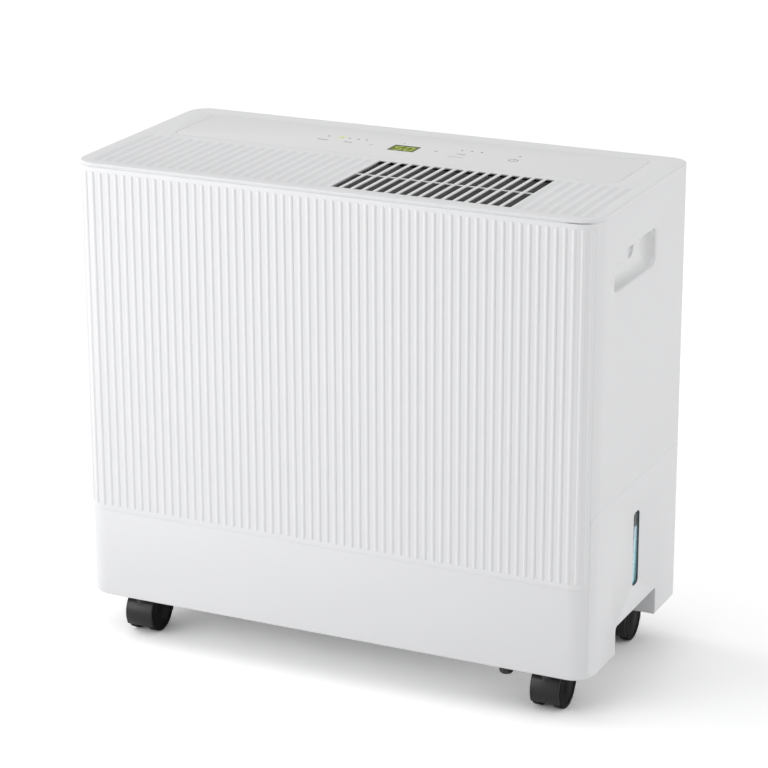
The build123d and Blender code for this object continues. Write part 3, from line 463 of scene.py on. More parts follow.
finishes = {
    "white_shell": moulded("white_satin", WHITE, 0.40, drift=0.006),
    "white_inlay": moulded("white_film", FILM_WHITE, 0.36, grain=2400.0, relief=0.02, drift=0.004),
    # Painted light: the hand cups get a whiter copy of the shell plastic, lifting the shade inside the
    # pockets.
    "handle_white": moulded("handle_white", (0.905, 0.907, 0.91), 0.46, drift=0.006),
    "display_glass": display_black(),
    "sight_glass": clear_lens(),
    "tank_plastic": tank_resin(),
    "float_foam": float_foam(),
    "base_plastic": moulded("base_white", (0.74, 0.745, 0.745), 0.5, drift=0.015),
    "black_plastic": moulded("black_moulding", (0.040, 0.040, 0.042), 0.5, relief=0.08, drift=0.1),
    "filter_cloth": filter_weave(),
    "soft_rubber": soft_rubber(),
    "circuit_board": circuit_board(),
    "compressor_paint": black_enamel(),
    "fin_aluminium": fin_aluminium(),
    "copper": metal("drawn_copper", (0.78, 0.40, 0.24), (0.50, 0.22, 0.12), 0.34),
    "steel": metal("zinc_steel", (0.62, 0.62, 0.61), (0.48, 0.47, 0.45), 0.38),
    "caster_nylon": moulded(
        "caster_nylon", (0.006, 0.006, 0.007), 0.34, grain=900.0, relief=0.10, drift=0.12, shine=0.35
    ),
}
for part in frame["record"]["subparts"]:
    for held in frame["nodes"][part["node"]].material_slots:
        held.material = finishes[part["material_slot"]]


# Floor, room and lamps
def seen_ray(finish):
    """1 for what the camera sees itself or in a reflection or through glass."""
    camera = finish.node("ShaderNodeLightPath", output="Is Camera Ray")
    glossy = finish.node("ShaderNodeLightPath", output="Is Glossy Ray")
    through = finish.node("ShaderNodeLightPath", output="Is Transmission Ray")
    either = finish.node("ShaderNodeMath", {"operation": "MAXIMUM"}, {0: camera, 1: glossy})
    return finish.node("ShaderNodeMath", {"operation": "MAXIMUM"}, {0: either, 1: through})


def lay_floor():
    """Pale floor that the camera and clear reflections see as white, with the shadow kept."""
    bpy.ops.mesh.primitive_plane_add(size=FLOOR_SIZE)
    floor = bpy.context.active_object
    floor.name = "floor"
    finish = new_finish("pale_floor")
    tone = finish.blend(seen_ray(finish), tint(PALE, FLOOR_BOUNCE), tint(PALE, FLOOR_SEEN))
    matt = finish.node("ShaderNodeBsdfDiffuse", None, {"Color": tone})
    finish.node("ShaderNodeOutputMaterial", None, {0: matt})
    floor.data.materials.append(finish.owner)


def light_room():
    """White to the camera, and an even soft grey as light."""
    world = bpy.data.worlds.new("studio")
    bpy.context.scene.world = world
    finish = Finish(world)
    glow = seen_ray(finish) * (1.0 - ROOM_GLOW) + ROOM_GLOW
    sky = finish.node("ShaderNodeBackground", None, {"Color": tint(PALE), "Strength": glow})
    finish.node("ShaderNodeOutputWorld", None, {0: sky})


set_camera()
lay_floor()
light_room()
softbox("key_light", location=(-1.9, -1.7, 0.9), size=1.6, watts=12.0)
softbox("near_light", location=(-0.75, -1.2, 0.5), size=0.9, watts=4.6)
broad_light("right_fill", turn=90.0, rise=15.0, strength=0.8)
broad_light("high_fill", turn=-90.0, rise=38.0, strength=0.66)
bpy.context.scene.view_settings.view_transform = "Standard"


# Modelling by hand
STRAIGHT = 0.98
BALL_RINGS = 9
TURNS = ((0.0, pi / 2, 0.0), (-pi / 2, 0.0, 0.0), (0.0, 0.0, 0.0))


def alone(piece):
    """Select one piece only."""
    bpy.ops.object.select_all(action="DESELECT")
    piece.select_set(True)
    bpy.context.view_layer.objects.active = piece


@contextmanager
def editing(piece):
    """Edit mode on one piece."""
    alone(piece)
    bpy.ops.object.mode_set(mode="EDIT")
    yield
    bpy.ops.object.mode_set(mode="OBJECT")


def pick(piece, kind, test):
    """In edit mode, select the faces, edges or verts whose middle, in millimetres, passes the test."""
    bpy.ops.mesh.select_mode(type={"faces": "FACE", "edges": "EDGE", "verts": "VERT"}[kind])
    bpy.ops.mesh.select_all(action="DESELECT")
    mesh = bmesh.from_edit_mesh(piece.data)
    for part in getattr(mesh, kind):
        corners = [part.co] if kind == "verts" else [corner.co for corner in part.verts]
        middle = sum(corners, Vector()) / len(corners) / MM
        if test(part, middle):
            part.select_set(True)
    mesh.select_flush_mode()
    bmesh.update_edit_mesh(piece.data)


def runs(edge, axis):
    """True for an edge along one axis."""
    across = edge.verts[1].co - edge.verts[0].co
    return abs(across[axis]) > STRAIGHT * across.length


def near(value, target, slack=0.02):
    return abs(value - target) < slack


def edges_along(axis):
    """A test for the edges along X, Y or Z."""
    return lambda edge, middle: runs(edge, axis)


def at_height(z):
    """A test for what has its middle at a height."""
    return lambda part, middle: near(middle.z, z)


def named(name):
    """Name the piece that was just added, and put its place in its mesh."""
    piece = bpy.context.active_object
    piece.name = piece.data.name = name
    bpy.ops.object.transform_apply(location=True, rotation=True, scale=True)
    return piece


def block(name, low, high):
    """A block between two corners."""
    low, high = Vector(low) * MM, Vector(high) * MM
    bpy.ops.object.select_all(action="DESELECT")
    bpy.ops.mesh.primitive_cube_add(size=1.0, location=(low + high) / 2, scale=high - low)
    return named(name)


def rod(name, centre, radius, length, axis, facets=48):
    """A round bar about its centre."""
    bpy.ops.object.select_all(action="DESELECT")
    bpy.ops.mesh.primitive_cylinder_add(
        vertices=facets,
        radius=radius * MM,
        depth=length * MM,
        location=Vector(centre) * MM,
        rotation=TURNS[axis],
    )
    return named(name)


def capsule(name, centre, radius, length, axis, facets=24):
    """A round bar with ball ends, from a stretched ball."""
    bpy.ops.object.select_all(action="DESELECT")
    bpy.ops.mesh.primitive_uv_sphere_add(
        segments=facets,
        ring_count=BALL_RINGS,
        radius=radius * MM,
        location=Vector(centre) * MM,
        rotation=TURNS[axis],
    )
    piece = named(name)
    reach = (length / 2 - radius) * MM
    with editing(piece):
        for side in (-1, 1):
            pick(piece, "verts", lambda vert, middle: (middle[axis] - centre[axis]) * side > 0)
            move = [0.0, 0.0, 0.0]
            move[axis] = side * reach
            bpy.ops.transform.translate(value=move)
    return piece


def round_edges(piece, radius, segments, test):
    """Round the edges that pass the test."""
    with editing(piece):
        pick(piece, "edges", test)
        bpy.ops.mesh.bevel(offset=radius * MM, segments=segments, affect="EDGES")


def rounded_block(name, low, high, axis, radius, segments):
    """A block with its four edges along one axis rounded."""
    piece = block(name, low, high)
    round_edges(piece, radius, segments, edges_along(axis))
    return piece


def finish_with(piece, kind, **settings):
    """Add one modifier and apply it."""
    alone(piece)
    made = piece.modifiers.new(kind.lower(), kind)
    for key, value in settings.items():
        setattr(made, key, value)
    bpy.ops.object.modifier_apply(modifier=made.name)


def soften(piece, width=EDGE_SOFT, segments=2, angle=35.0):
    """Break every sharp edge."""
    finish_with(
        piece, "BEVEL", width=width * MM, segments=segments, limit_method="ANGLE", angle_limit=radians(angle)
    )


def carve(piece, tool, operation="DIFFERENCE"):
    """Cut a tool out of a piece, or weld it on, and throw the tool away."""
    finish_with(piece, "BOOLEAN", operation=operation, solver="EXACT", object=tool)
    bpy.data.objects.remove(tool)


def row(piece, count, step):
    """Repeat a piece along a line."""
    finish_with(
        piece,
        "ARRAY",
        count=count,
        use_relative_offset=False,
        use_constant_offset=True,
        constant_offset_displace=Vector(step) * MM,
    )


def copy_of(piece, name, place):
    """A copy with its own mesh, moved by a matrix in metres."""
    alone(piece)
    bpy.ops.object.duplicate()
    made = bpy.context.active_object
    made.matrix_world = place @ made.matrix_world
    return named(name)


def joined(name, pieces):
    """Several meshes as one piece."""
    alone(pieces[0])
    for piece in pieces:
        piece.select_set(True)
    bpy.ops.object.join()
    return named(name)


def hand_over(piece, finish, body, slot, *nodes, angle=32.0):
    """Give a finished piece its material and the body it moves with."""
    alone(piece)
    piece.data.materials.clear()
    piece.data.materials.append(finish)
    bpy.ops.object.shade_smooth_by_angle(angle=radians(angle))
    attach(piece, body)
    if nodes:
        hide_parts(*nodes)
    return piece


def shift(x, y, z):
    return Matrix.Translation(Vector((x, y, z)) * MM)


# Shell
CORNER_STEPS = 14


def body_block(name, half_x, half_y, low_z, high_z):
    """A block with the body's rounded plan."""
    piece = block(name, (-half_x, -half_y, low_z), (half_x, half_y, high_z))
    inset = HALF_DEPTH - half_y
    for side, radius in ((-1, FRONT_RADIUS), (1, REAR_RADIUS)):
        round_edges(piece, radius - inset, CORNER_STEPS, lambda edge, mid: runs(edge, Z) and mid.y * side > 0)
    return piece


def outline_gap(point):
    """How far a point lies inside the shell's outer face."""
    x, y = abs(point.x) / MM, abs(point.y) / MM
    radius = (FRONT_RADIUS if point.y < 0 else REAR_RADIUS) - FRONT_INSET
    over = Vector((x - SHELL_X + radius, y - SHELL_Y + radius))
    return radius - over.length if min(over) > 0 else min(SHELL_X - x, SHELL_Y - y)


def skin(name, low_z, high_z, cuts, foot=False):
    """One panel of the shell: the body's wall between two heights, trimmed by planes."""
    piece = body_block(name, SHELL_X, SHELL_Y, low_z, high_z)
    with editing(piece):
        pick(piece, "faces", lambda face, mid: abs(face.normal.z) > STRAIGHT)
        bpy.ops.mesh.delete(type="FACE")
    finish_with(piece, "SOLIDIFY", thickness=WALL * MM, offset=-1.0, use_even_offset=True)
    if foot:

        def outer_foot(edge, mid):
            return near(mid.z, low_z) and all(near(outline_gap(corner.co), 0) for corner in edge.verts)

        round_edges(piece, FOOT_ROUND, 4, outer_foot)
    with editing(piece):
        for point, normal in cuts:
            bpy.ops.mesh.select_all(action="SELECT")
            bpy.ops.mesh.bisect(plane_co=Vector(point) * MM, plane_no=normal, clear_outer=True, use_fill=True)
    return piece


# Beaded front and plinth
BEAD_PITCH = 7.9
BEAD_WIDTH = 4.0
BEAD_HEIGHT = 1.1
BEAD_LOW = 131.0
BEAD_HIGH = 447.5
BEAD_COUNT = 59
CORNER_BEADS = 2
BEAD_RADIUS = BEAD_WIDTH**2 / (8 * BEAD_HEIGHT) + BEAD_HEIGHT / 2
BEAD_SINK = BEAD_RADIUS - BEAD_HEIGHT
PLINTH_LOW = 42.0


def bead_stock():
    """The upright half-round beads, in one row that turns into both front corners."""
    middle = (BEAD_LOW + BEAD_HIGH) / 2
    bead = capsule("bead", (0, -SHELL_Y + BEAD_SINK, middle), BEAD_RADIUS, BEAD_HIGH - BEAD_LOW, Z)
    with editing(bead):
        bpy.ops.mesh.select_all(action="SELECT")
        in_wall = Vector((0, -SHELL_Y + WALL / 2, 0)) * MM
        bpy.ops.mesh.bisect(plane_co=in_wall, plane_no=(0, 1, 0), clear_outer=True, use_fill=True)
    radius = FRONT_RADIUS - FRONT_INSET
    flat = SHELL_X - radius
    half_row = BEAD_COUNT // 2
    first = (half_row + 1) * BEAD_PITCH - flat
    stock = []
    for side in (-1, 1):
        pivot = shift(side * flat, -SHELL_Y + radius, 0)
        for step in range(CORNER_BEADS):
            turn = side * (first + step * BEAD_PITCH) / radius
            around = pivot @ Matrix.Rotation(turn, 4, "Z") @ shift(0, SHELL_Y - radius, 0)
            stock.append(copy_of(bead, "corner_bead", around))
    bead.data.transform(shift(-half_row * BEAD_PITCH, 0, 0))
    row(bead, BEAD_COUNT, (BEAD_PITCH, 0, 0))
    return joined("beads", [bead, *stock])


front_low, front_high = span("front_cover")
front_back = ((0, FRONT_SEAM, 0), (0, 1, 0))
beaded_front = skin("beaded_front", front_low.z, front_high.z, [front_back])
soften(beaded_front)
carve(beaded_front, bead_stock(), "UNION")
hand_over(beaded_front, finishes["white_shell"], "housing", "white_shell", "front_cover", angle=40.0)

plinth = skin("plinth", PLINTH_LOW, front_low.z - SEAM, [front_back], foot=True)
soften(plinth)
# The plinth gets a greyer copy of the shell white: painted shade on the lowest band of the body.
plinth_painted_shade = moulded("plinth_painted_shade", PLINTH_SHADED_WHITE, 0.40, drift=0.006)
hand_over(plinth, plinth_painted_shade, "housing", "white_shell", "plinth_cover")

# Sides and hand slots
HAND_LOW = Vector((0, -72.5, 382.0))
HAND_HIGH = Vector((0, 27.0, 414.5))
HAND_CORNER = 6.0
HAND_RIM = 2.4
TONGUE_END = -19.0
TONGUE_LOW = 400.5
TONGUE_DEEP = 11.0
TONGUE_TIP = 8.0
TONGUE_ROLL = 5.0
TONGUE_ROOT = 6.0
HOLE_Y = -38.5
HOLE_HALF = 8.5
HOLE_DROP = 10.0
HOLE_DEEP = 2.9
CUP_DEEP = 12.5
CUP_CORNER = 10.0
CUP_ROUND = 9.0
CUP_WALL = 1.9
NEARBY = 1.0
TANK_GAP = 0.5
TANK_SIDE = 0.2
BAY_LOW = 60.0
BAY_CORNER = 9.5


def sides(side, *places):
    """Places on one side of the body's middle, in rising order."""
    return sorted(side * place for place in places)


def on_outer_face(edge, side):
    """True for an edge on the outer face of a side panel."""
    return all(near(corner.co.x / MM, side * SHELL_X) for corner in edge.verts)


def hand_slot(panel, side):
    """Cut the hand slot through a side panel and add its thick rolled tongue with a blind hole."""
    low_x, high_x = sides(side, INNER_X - TOOL_OVER, SHELL_X + TOOL_OVER)
    tool_ends = (low_x, *HAND_LOW.yz), (high_x, *HAND_HIGH.yz)
    carve(panel, rounded_block("slot_tool", *tool_ends, X, HAND_CORNER, 8))

    def on_rim(edge, mid):
        inside_y = HAND_LOW.y - NEARBY < mid.y < HAND_HIGH.y + NEARBY
        inside_z = HAND_LOW.z - NEARBY < mid.z < HAND_HIGH.z + NEARBY
        return inside_y and inside_z and on_outer_face(edge, side)

    round_edges(panel, HAND_RIM, 5, on_rim)
    low_x, high_x = sides(side, SHELL_X - TONGUE_DEEP, SHELL_X)
    root_y, root_z = HAND_LOW.y - TONGUE_ROOT, HAND_HIGH.z + TONGUE_ROOT
    tongue = block("tongue", (low_x, root_y, TONGUE_LOW), (high_x, TONGUE_END, root_z))

    def at_tip(edge, mid):
        return runs(edge, X) and near(mid.y, TONGUE_END) and near(mid.z, TONGUE_LOW)

    def on_lip(edge, mid):
        free = mid.y > TONGUE_END - TONGUE_TIP or mid.z < TONGUE_LOW + TONGUE_TIP - NEARBY
        rooted = mid.y < root_y + NEARBY or mid.z > root_z - NEARBY
        return on_outer_face(edge, side) and free and not rooted

    round_edges(tongue, TONGUE_TIP, 8, at_tip)
    round_edges(tongue, TONGUE_ROLL, 6, on_lip)
    carve(panel, tongue, "UNION")
    centre = Vector((side * SHELL_X, HOLE_Y, HAND_HIGH.z))
    hole = rod("hole_tool", centre, HOLE_HALF, 2 * HOLE_DEEP, X)
    with editing(hole):
        bpy.ops.mesh.select_all(action="SELECT")
        bpy.ops.transform.resize(value=(1.0, 1.0, HOLE_DROP / HOLE_HALF), center_override=centre * MM)
        bpy.ops.mesh.bisect(plane_co=centre * MM, plane_no=(0, 0, 1), clear_outer=True, use_fill=True)
    carve(panel, hole)


def hand_cup(name, side, node):
    """Moulded pocket behind a hand slot, with well rounded inner corners."""
    deep = INNER_X - CUP_DEEP
    low_x, high_x = sides(side, INNER_X, deep)
    cup = block(name, (low_x, *HAND_LOW.yz), (high_x, *HAND_HIGH.yz))
    with editing(cup):
        pick(cup, "faces", lambda face, mid: near(mid.x, side * INNER_X))
        bpy.ops.mesh.delete(type="FACE")
        pick(cup, "edges", edges_along(X))
        bpy.ops.mesh.bevel(offset=CUP_CORNER * MM, segments=8, affect="EDGES")
        pick(cup, "edges", lambda edge, mid: near(mid.x, side * deep))
        bpy.ops.mesh.bevel(offset=CUP_ROUND * MM, segments=10, affect="EDGES")
    finish_with(cup, "SOLIDIFY", thickness=CUP_WALL * MM, offset=1.0)
    # The cup's whiter plastic is painted light against the shade inside the pocket.
    hand_over(cup, finishes["handle_white"], "housing", "handle_white", node)


def side_cuts(side, back_y, gap=SEAM):
    """Planes that leave one side of the shell, behind the seam on the front corner."""
    return [
        ((0, 0, 0), (-side, 0, 0)),
        ((0, back_y, 0), (0, 1, 0)),
        ((0, FRONT_SEAM + gap, 0), (0, -1, 0)),
    ]


def arch(name, low, high, radius, segments):
    """A block with its two upper edges along X rounded."""
    piece = block(name, low, high)
    round_edges(piece, radius, segments, lambda edge, mid: runs(edge, X) and near(mid.z, high[Z]))
    return piece


right_low, right_high = span("right_side_panel")
tank_low, tank_high = span("tank_front")
bay_back = -front_high.y
bay_top = tank_high.z + TANK_GAP
right_panel = skin("right_panel", right_low.z, right_high.z, side_cuts(1, right_high.y))
bay_ends = (TOOL_IN, FRONT_SEAM, BAY_LOW), (TOOL_OUT, bay_back, bay_top)
carve(right_panel, arch("bay_tool", *bay_ends, BAY_CORNER, 8))
soften(right_panel)
hand_slot(right_panel, 1)
hand_over(right_panel, finishes["white_shell"], "housing", "white_shell", "right_side_panel")
hand_cup("right_cup", 1, "right_handle_cup")

left_low, left_high = span("left_side_panel")
left_panel = skin("left_panel", left_low.z, left_high.z, side_cuts(-1, left_high.y), foot=True)
soften(left_panel)
hand_slot(left_panel, -1)
hand_over(left_panel, finishes["white_shell"], "housing", "white_shell", "left_side_panel")
hand_cup("left_cup", -1, "left_handle_cup")

# Tank face and water gauge
TANK_CORNER = 10.4
CROWN_IN = 200.0
CROWN_SLACK = 0.3
GRIP_HALF = 51.0
GRIP_TOP = 70.0
GRIP_CORNER = 4.0
CHEEK_IN = 224.0
CHEEK_OUT = SHELL_X - 1.5
CHEEK_THICK = 3.0
CHEEK_LIFT = 0.3
CHEEK_OVER = 1.0
SIGHT_LOW = Vector((0, -11.0, 93.0))
SIGHT_HIGH = Vector((0, 3.7, 163.0))
SIGHT_CORNER = 4.5
SIGHT_DEEP = 1.6
WATER_LEVEL = 147.0
WATER_THICK = 0.4
WATER_GAP = 0.15
# Painted highlight on the gauge water: where its pale strip ends and over what width it fades.
PAINTED_GLINT_END = -3.0
PAINTED_GLINT_WIDTH = 3.0
LENS_STAND = 0.05
LENS_GAP = 0.1
LENS_SOFT = 0.25
LINER_THICK = 0.45
LINER_SHY = 0.15
LINER_GAP = 0.02


def sight_piece(name, low_x, high_x, gap):
    """A rounded plate that fits the sight opening, between two depths."""
    low = (low_x, SIGHT_LOW.y + gap, SIGHT_LOW.z + gap)
    high = (high_x, SIGHT_HIGH.y - gap, SIGHT_HIGH.z - gap)
    return rounded_block(name, low, high, X, SIGHT_CORNER - gap, 8)


tank_back = bay_back - SEAM
tank_top = bay_top - SEAM
tank_face = skin("tank_face", tank_low.z, tank_top, side_cuts(1, tank_back, TANK_SIDE), foot=True)
crown_low = (CROWN_IN, FRONT_SEAM + TANK_SIDE - CROWN_SLACK, TOOL_LOW)
crown_high = (TOOL_OUT, tank_back + CROWN_SLACK, tank_top)
carve(tank_face, arch("crown_tool", crown_low, crown_high, TANK_CORNER, 8), "INTERSECT")
grip_ends = (TOOL_IN, -GRIP_HALF, TOOL_LOW), (TOOL_OUT, GRIP_HALF, GRIP_TOP)
carve(tank_face, arch("grip_tool", *grip_ends, GRIP_CORNER, 6))
for side in (-1, 1):
    low_y, high_y = sides(side, GRIP_HALF, GRIP_HALF + CHEEK_THICK)
    cheek_low = (CHEEK_IN, low_y, tank_low.z + CHEEK_LIFT)
    cheek_high = (CHEEK_OUT, high_y, GRIP_TOP + CHEEK_OVER)
    carve(tank_face, block("cheek", cheek_low, cheek_high), "UNION")
carve(tank_face, sight_piece("sight_tool", TOOL_IN, TOOL_OUT, 0.0))
soften(tank_face)
hand_over(tank_face, finishes["white_shell"], "tank", "white_shell", "tank_front")

water_back = span("tank_window")[0].x
lens_back = water_back + WATER_THICK + LENS_STAND
lens_face = SHELL_X - SIGHT_DEEP
gauge = sight_piece("water_column", water_back, water_back + WATER_THICK, WATER_GAP)
water = gauge_water(SIGHT_LOW.z, WATER_LEVEL, SIGHT_HIGH.z, PAINTED_GLINT_END)
hand_over(gauge, water, "tank", "sight_glass")
lens = sight_piece("sight_lens", lens_back, lens_face, LENS_GAP)
soften(lens, LENS_SOFT)
hand_over(lens, finishes["sight_glass"], "tank", "sight_glass", "tank_window")
liner = sight_piece("sight_liner", lens_face, SHELL_X - LINER_SHY, LINER_GAP)
liner_tool = sight_piece("liner_tool", lens_face - TOOL_OVER, SHELL_X + TOOL_OVER, 0.0)
liner_tool.data.transform(shift(0, -LINER_THICK, LINER_THICK))
carve(liner, liner_tool)
# The liner of the sight recess is a dark slate-blue moulding.
liner_slate = moulded("slate_liner_grey", (0.085, 0.115, 0.135), 0.3, relief=0.01, drift=0.05)
hand_over(liner, liner_slate, "tank", "sight_glass")

# Lid, grooves and outlet
LID_LOW = 451.0
LID_ROUND = 1.4
LID_UNDER_X = 0.4
LID_UNDER_Y = 1.9
LID_SOFT = 0.2
RELIEF = Vector((233.0, -114.0, 451.0))
RELIEF_REACH = (13.0, 9.0, 0.75)
GROOVE_PITCH = 10.63
GROOVE_WIDTH = 8.8
GROOVE_DEPTH = 1.25
GROOVE_FRONT = -105.0
GROOVE_BACK = -1.5
GROOVES_LEFT = 22
GROOVES_RIGHT = 7
OUTLET_X = 82.9
SLOT_COLUMNS = 16
SLOT_WIDTH = 7.7
SLOT_FRONT = -102.1
SLOT_LENGTH = 49.1
SLOT_BAR = 1.4
SLOT_CORNER = 0.8
BAR_THICK = 0.9
POCKET_FRONT = 1.0
POCKET_SIDE = 2.9
POCKET_BACK = 8.4
INLAY_LOW = Vector((-218.4, 10.0, 453.4))
INLAY_HIGH = Vector((219.4, 97.0, 456.0))
INLAY_CORNER = 10.0

lid = body_block("lid", HALF_WIDTH, HALF_DEPTH, LID_LOW, TOP)
with editing(lid):
    pick(lid, "faces", at_height(LID_LOW))
    drawn_in = (1.0 - LID_UNDER_X / HALF_WIDTH, 1.0 - LID_UNDER_Y / HALF_DEPTH, 1.0)
    bpy.ops.transform.resize(value=drawn_in, center_override=(0.0, 0.0, LID_LOW * MM))
round_edges(lid, LID_ROUND, 6, at_height(TOP))
bpy.ops.object.select_all(action="DESELECT")
bpy.ops.mesh.primitive_uv_sphere_add(
    segments=32, ring_count=16, radius=MM, location=RELIEF * MM, scale=RELIEF_REACH
)
carve(lid, named("finger_relief"))

groove_radius = GROOVE_WIDTH**2 / (8 * GROOVE_DEPTH) + GROOVE_DEPTH / 2
groove_middle = ((GROOVE_FRONT + GROOVE_BACK) / 2, TOP - GROOVE_DEPTH + groove_radius)
groove_length = GROOVE_BACK - GROOVE_FRONT + 2 * (groove_radius - GROOVE_WIDTH / 2)
half_outlet = (SLOT_COLUMNS - 1) / 2 * GROOVE_PITCH
slot_first, slot_last = OUTLET_X - half_outlet, OUTLET_X + half_outlet
for first, count in (
    (slot_first - GROOVES_LEFT * GROOVE_PITCH, GROOVES_LEFT),
    (slot_last + GROOVE_PITCH, GROOVES_RIGHT),
):
    grooves = capsule("groove_tool", (first, *groove_middle), groove_radius, groove_length, Y)
    row(grooves, count, (GROOVE_PITCH, 0, 0))
    carve(lid, grooves)

outlet_left, outlet_right = slot_first - SLOT_WIDTH / 2, slot_last + SLOT_WIDTH / 2
slot_back = SLOT_FRONT + 2 * SLOT_LENGTH + SLOT_BAR
pocket = block(
    "pocket_tool",
    (outlet_left - POCKET_SIDE, SLOT_FRONT - POCKET_FRONT, LID_LOW - TOOL_OVER),
    (outlet_right + POCKET_SIDE, slot_back + POCKET_BACK, TOP - BAR_THICK),
)
carve(lid, pocket)
slots = rounded_block(
    "slot_cutter",
    (outlet_left, SLOT_FRONT, LID_LOW - TOOL_OVER),
    (outlet_left + SLOT_WIDTH, SLOT_FRONT + SLOT_LENGTH, TOP + TOOL_OVER),
    Z,
    SLOT_CORNER,
    3,
)
row(slots, SLOT_COLUMNS, (GROOVE_PITCH, 0, 0))
row(slots, 2, (0, SLOT_LENGTH + SLOT_BAR, 0))
carve(lid, slots)
carve(lid, rounded_block("recess_tool", INLAY_LOW, INLAY_HIGH, Z, INLAY_CORNER, 8))
soften(lid, LID_SOFT, angle=28.0)
hand_over(lid, finishes["white_shell"], "housing", "white_shell", "top_cover")

# Fine guard close below the slots
GUARD_PITCH = 3.2
GUARD_BAR = 1.6
GUARD_LOW = 450.7
GUARD_HIGH = 451.7
GUARD_ROWS = 31
GUARD_OVER = 2.0
GUARD_SHY = 0.4
GUARD_SOFT = 0.2
RAIL_WIDTH = 2.0

guard_left, guard_right = outlet_left - GUARD_OVER, outlet_right + GUARD_OVER
guard_front = SLOT_FRONT + GUARD_SHY
guard = block(
    "outlet_net",
    (guard_left, guard_front, GUARD_LOW),
    (guard_right, guard_front + GUARD_BAR, GUARD_HIGH),
)
row(guard, GUARD_ROWS, (0, GUARD_PITCH, 0))
rail_end = (guard_left + RAIL_WIDTH, slot_back + GUARD_OVER, GUARD_HIGH)
rail = block("rail", (guard_left, SLOT_FRONT, GUARD_LOW), rail_end)
row(rail, 2, (guard_right - guard_left - RAIL_WIDTH, 0, 0))
carve(guard, rail, "UNION")
soften(guard, GUARD_SOFT)
net_grey = moulded("guard_grey", (0.13, 0.13, 0.132), 0.6, relief=0.08, drift=0.05, shine=0.2)
hand_over(guard, net_grey, "housing", "black_plastic")

# Control film and display
FILM_TOP = 454.95
FILM_GAP = 0.6
FILM_CLOSE = 0.05
FILM_SOFT = 0.15
WINDOW_LOW = Vector((-13.0, 36.5, 453.4))
WINDOW_HIGH = Vector((13.0, 56.8, 454.92))
WINDOW_CORNER = 0.8
PANE_GAP = 0.1
PRINT_THICK = 0.06
GLOW_LOW = (-11.6, 38.2)
GLOW_HIGH = (11.9, 54.4)
GLOW_CORNER = 0.6
DIGIT_WIDTH = 8.6
DIGIT_HEIGHT = 14.6
DIGIT_STEP = 10.6
STROKE = 2.2
STROKE_GAP = 0.35
BAR_POINT = 0.45
SEGMENTS = {
    "top": (0.0, 1.0, True),
    "middle": (0.0, 0.0, True),
    "bottom": (0.0, -1.0, True),
    "upper_left": (-1.0, 0.5, False),
    "upper_right": (1.0, 0.5, False),
    "lower_left": (-1.0, -0.5, False),
    "lower_right": (1.0, -0.5, False),
}
FIVE = ("top", "upper_left", "middle", "lower_right", "bottom")
ZERO = ("top", "upper_left", "upper_right", "lower_left", "lower_right", "bottom")

film = rounded_block(
    "control_film",
    (INLAY_LOW.x + FILM_GAP, INLAY_LOW.y + FILM_CLOSE, INLAY_LOW.z),
    (INLAY_HIGH.x - FILM_GAP, INLAY_HIGH.y - FILM_CLOSE, FILM_TOP),
    Z,
    INLAY_CORNER - FILM_GAP,
    8,
)
round_edges(film, FILM_SOFT, 2, at_height(FILM_TOP))
window_ends = (*WINDOW_LOW.xy, LID_LOW), (*WINDOW_HIGH.xy, TOP + TOOL_OVER)
carve(film, rounded_block("window_tool", *window_ends, Z, WINDOW_CORNER, 4))
hand_over(film, finishes["white_inlay"], "housing", "white_inlay", "control_inlay")

pane_top = WINDOW_HIGH.z - PRINT_THICK
pane = rounded_block(
    "display_pane",
    (WINDOW_LOW.x + PANE_GAP, WINDOW_LOW.y + PANE_GAP, WINDOW_LOW.z),
    (WINDOW_HIGH.x - PANE_GAP, WINDOW_HIGH.y - PANE_GAP, pane_top),
    Z,
    WINDOW_CORNER,
    4,
)
hand_over(pane, finishes["display_glass"], "housing", "display_glass", "display_window")


def bar(name, centre, size, thick, base):
    """A thin printed or lit bar with pointed ends."""
    piece = block(
        name,
        (centre[0] - size[0] / 2, centre[1] - size[1] / 2, base),
        (centre[0] + size[0] / 2, centre[1] + size[1] / 2, base + thick),
    )
    round_edges(piece, BAR_POINT * min(size), 1, edges_along(Z))
    return piece


def digit(centre_x, centre_y, lit):
    """The lit bars of one seven-bar figure."""
    wide = (DIGIT_WIDTH - STROKE) / 2
    tall = (DIGIT_HEIGHT - STROKE) / 2
    strokes = []
    for segment in lit:
        across, up, flat = SEGMENTS[segment]
        length = (2 * wide if flat else tall) - STROKE_GAP
        size = (length, STROKE) if flat else (STROKE, length)
        centre = (centre_x + across * wide, centre_y + up * tall)
        strokes.append(bar("stroke", centre, size, PRINT_THICK, pane_top))
    return strokes


glow_x, glow_y = ((GLOW_LOW[way] + GLOW_HIGH[way]) / 2 for way in (0, 1))
glow_ends = (*GLOW_LOW, pane_top), (*GLOW_HIGH, pane_top + PRINT_THICK / 2)
backlight = rounded_block("display_backlight", *glow_ends, Z, GLOW_CORNER, 3)
hand_over(backlight, lamp_glow("display_olive", (0.145, 0.185, 0.03), 1.0), "housing", "display_glass")
strokes = digit(glow_x - DIGIT_STEP / 2, glow_y, FIVE) + digit(glow_x + DIGIT_STEP / 2, glow_y, ZERO)
figures = joined("display_figures", strokes)
hand_over(figures, lamp_glow("display_green", (0.36, 0.45, 0.11), 1.0), "housing", "display_glass")

# Lamps and signs on the control film
LAMP_Y = 61.3
LAMP_X = (-82.1, -61.2, -52.3, -43.9, 51.0, 60.7, 70.1, 107.1)
LAMP_RADIUS = 1.2
PILOT = (-7.6, 65.0)
PILOT_RADIUS = 0.9
LIT_X = -68.9
LIT_RADIUS = 2.2
